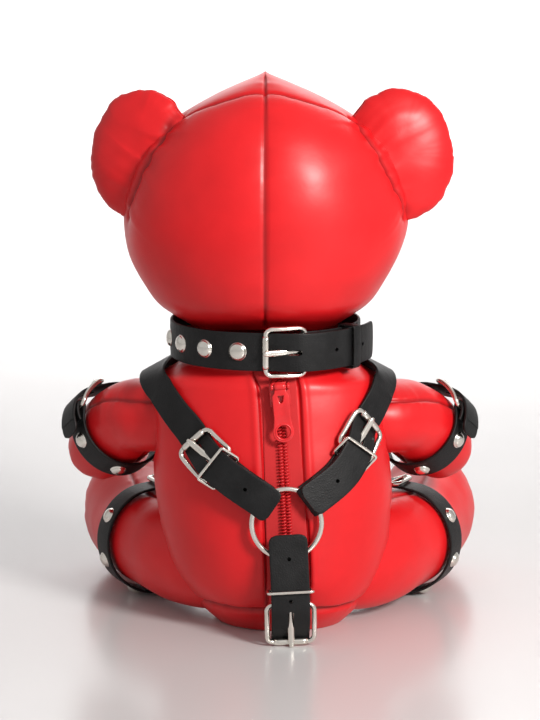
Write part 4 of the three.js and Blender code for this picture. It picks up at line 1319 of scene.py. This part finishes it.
def zip_slider():
    rows = [(ZIP_DEGREES, ZIP["slider"] + 12 - 6 * i, 0) for i in range(5)]
    route = trunk_route(rows)
    middle = route.total / 2

    def on_route(shape, s, n, swap=False):
        """A plate's points laid in (s, v, n), or stood on its edge."""
        points, faces = shape
        x, y, thick = points.T
        flat = (x, thick, y) if swap else (x, y, thick)
        return route.rigid(middle, np.column_stack([middle + s + flat[0], flat[1], n + flat[2]])), faces

    def cross_bar(half, radius, steps, around):
        """A round bar across the slider at the pull's pivot."""
        v = np.linspace(-half, half, steps)
        flat = np.column_stack([0 * v + middle + PIVOT_S, v, 0 * v + PULL_N])
        return capped(tube(route.rigid(middle, flat), radius, around=around))

    body = SLIDER_HALF + mirrored(SLIDER_HALF)
    parts = [on_route(plate([body], 1.5, 0.45), 0, 2.6)]
    rail, rail_faces = on_route(plate([rounded_rectangle(5.6, 0.95, 0.4, 3)], 1.0, 0.25), 0, 1.5)
    foot = [(PIVOT_S - 2.1, -2.6), (PIVOT_S + 2.1, -2.6)]
    outline = circle(PIVOT_S, 0.4, 1.55, -20, 200, 14) + foot
    lug, lug_faces = on_route(plate([outline], 1.1, 0.3), 0, PULL_N - 0.2, swap=True)
    across = route.at(middle)[2]
    for side in (-1, 1):
        parts.append((rail + across * side * 4.0, rail_faces))
        parts.append((lug + across * side * 3.9, lug_faces))
    parts.append(cross_bar(4.1, 0.75, 6, 14))
    solid("zip_slider_body", parts, ZIP_PAINT, "zip_slider", "red_paint", "zip_slider")

    outline = circle(PULL_END, 0, 5.1, -118, 118, 26) + PULL_HALF + mirrored(PULL_HALF)
    window = [(0.3, -1.5), (0.3, 1.5), (3.2, 0.9), (4.0, 0.0), (3.2, -0.9)]
    hole = circle(PULL_END + 0.1, 0, 3.1)
    handle = on_route(plate([outline, hole[::-1], window[::-1]], 1.5, 0.4), 0, PULL_N)
    rim = [(middle + x, y, PULL_N + 0.62) for x, y in circle(PULL_END + 0.1, 0, 3.7, steps=48)]
    bead = looped(tube(route.rigid(middle, np.array(rim)), 0.42, closed=True, around=10))
    shells = [handle, bead, cross_bar(2.7, 1.75, 5, 24)]
    solid("zip_pull_handle", shells, ZIP_PAINT, "zip_pull", "red_paint", "zip_pull")


# ------------------------------------------------------------------ the bear
floor_and_backdrop()
studio_light()
aim_camera()
trunk_skin()
limb_skins()
head_skin()
for side in SIDES:
    size = {**SHOULDER, **SHOULDER_SIDE[side]}
    harness_strap(f"shoulder_{side}", SHOULDER_ROUTE[side], size, "ring", seed=90 + SIDES[side])
harness_strap("crotch", CROTCH_ROUTE, CROTCH, seed=95)
chest_strap()
collar()
limb_belts()
rings()
ears()
muzzle()
nose()
eyes()
zip_tape()
zip_coil()
zip_slider()

bpy.context.view_layer.update()
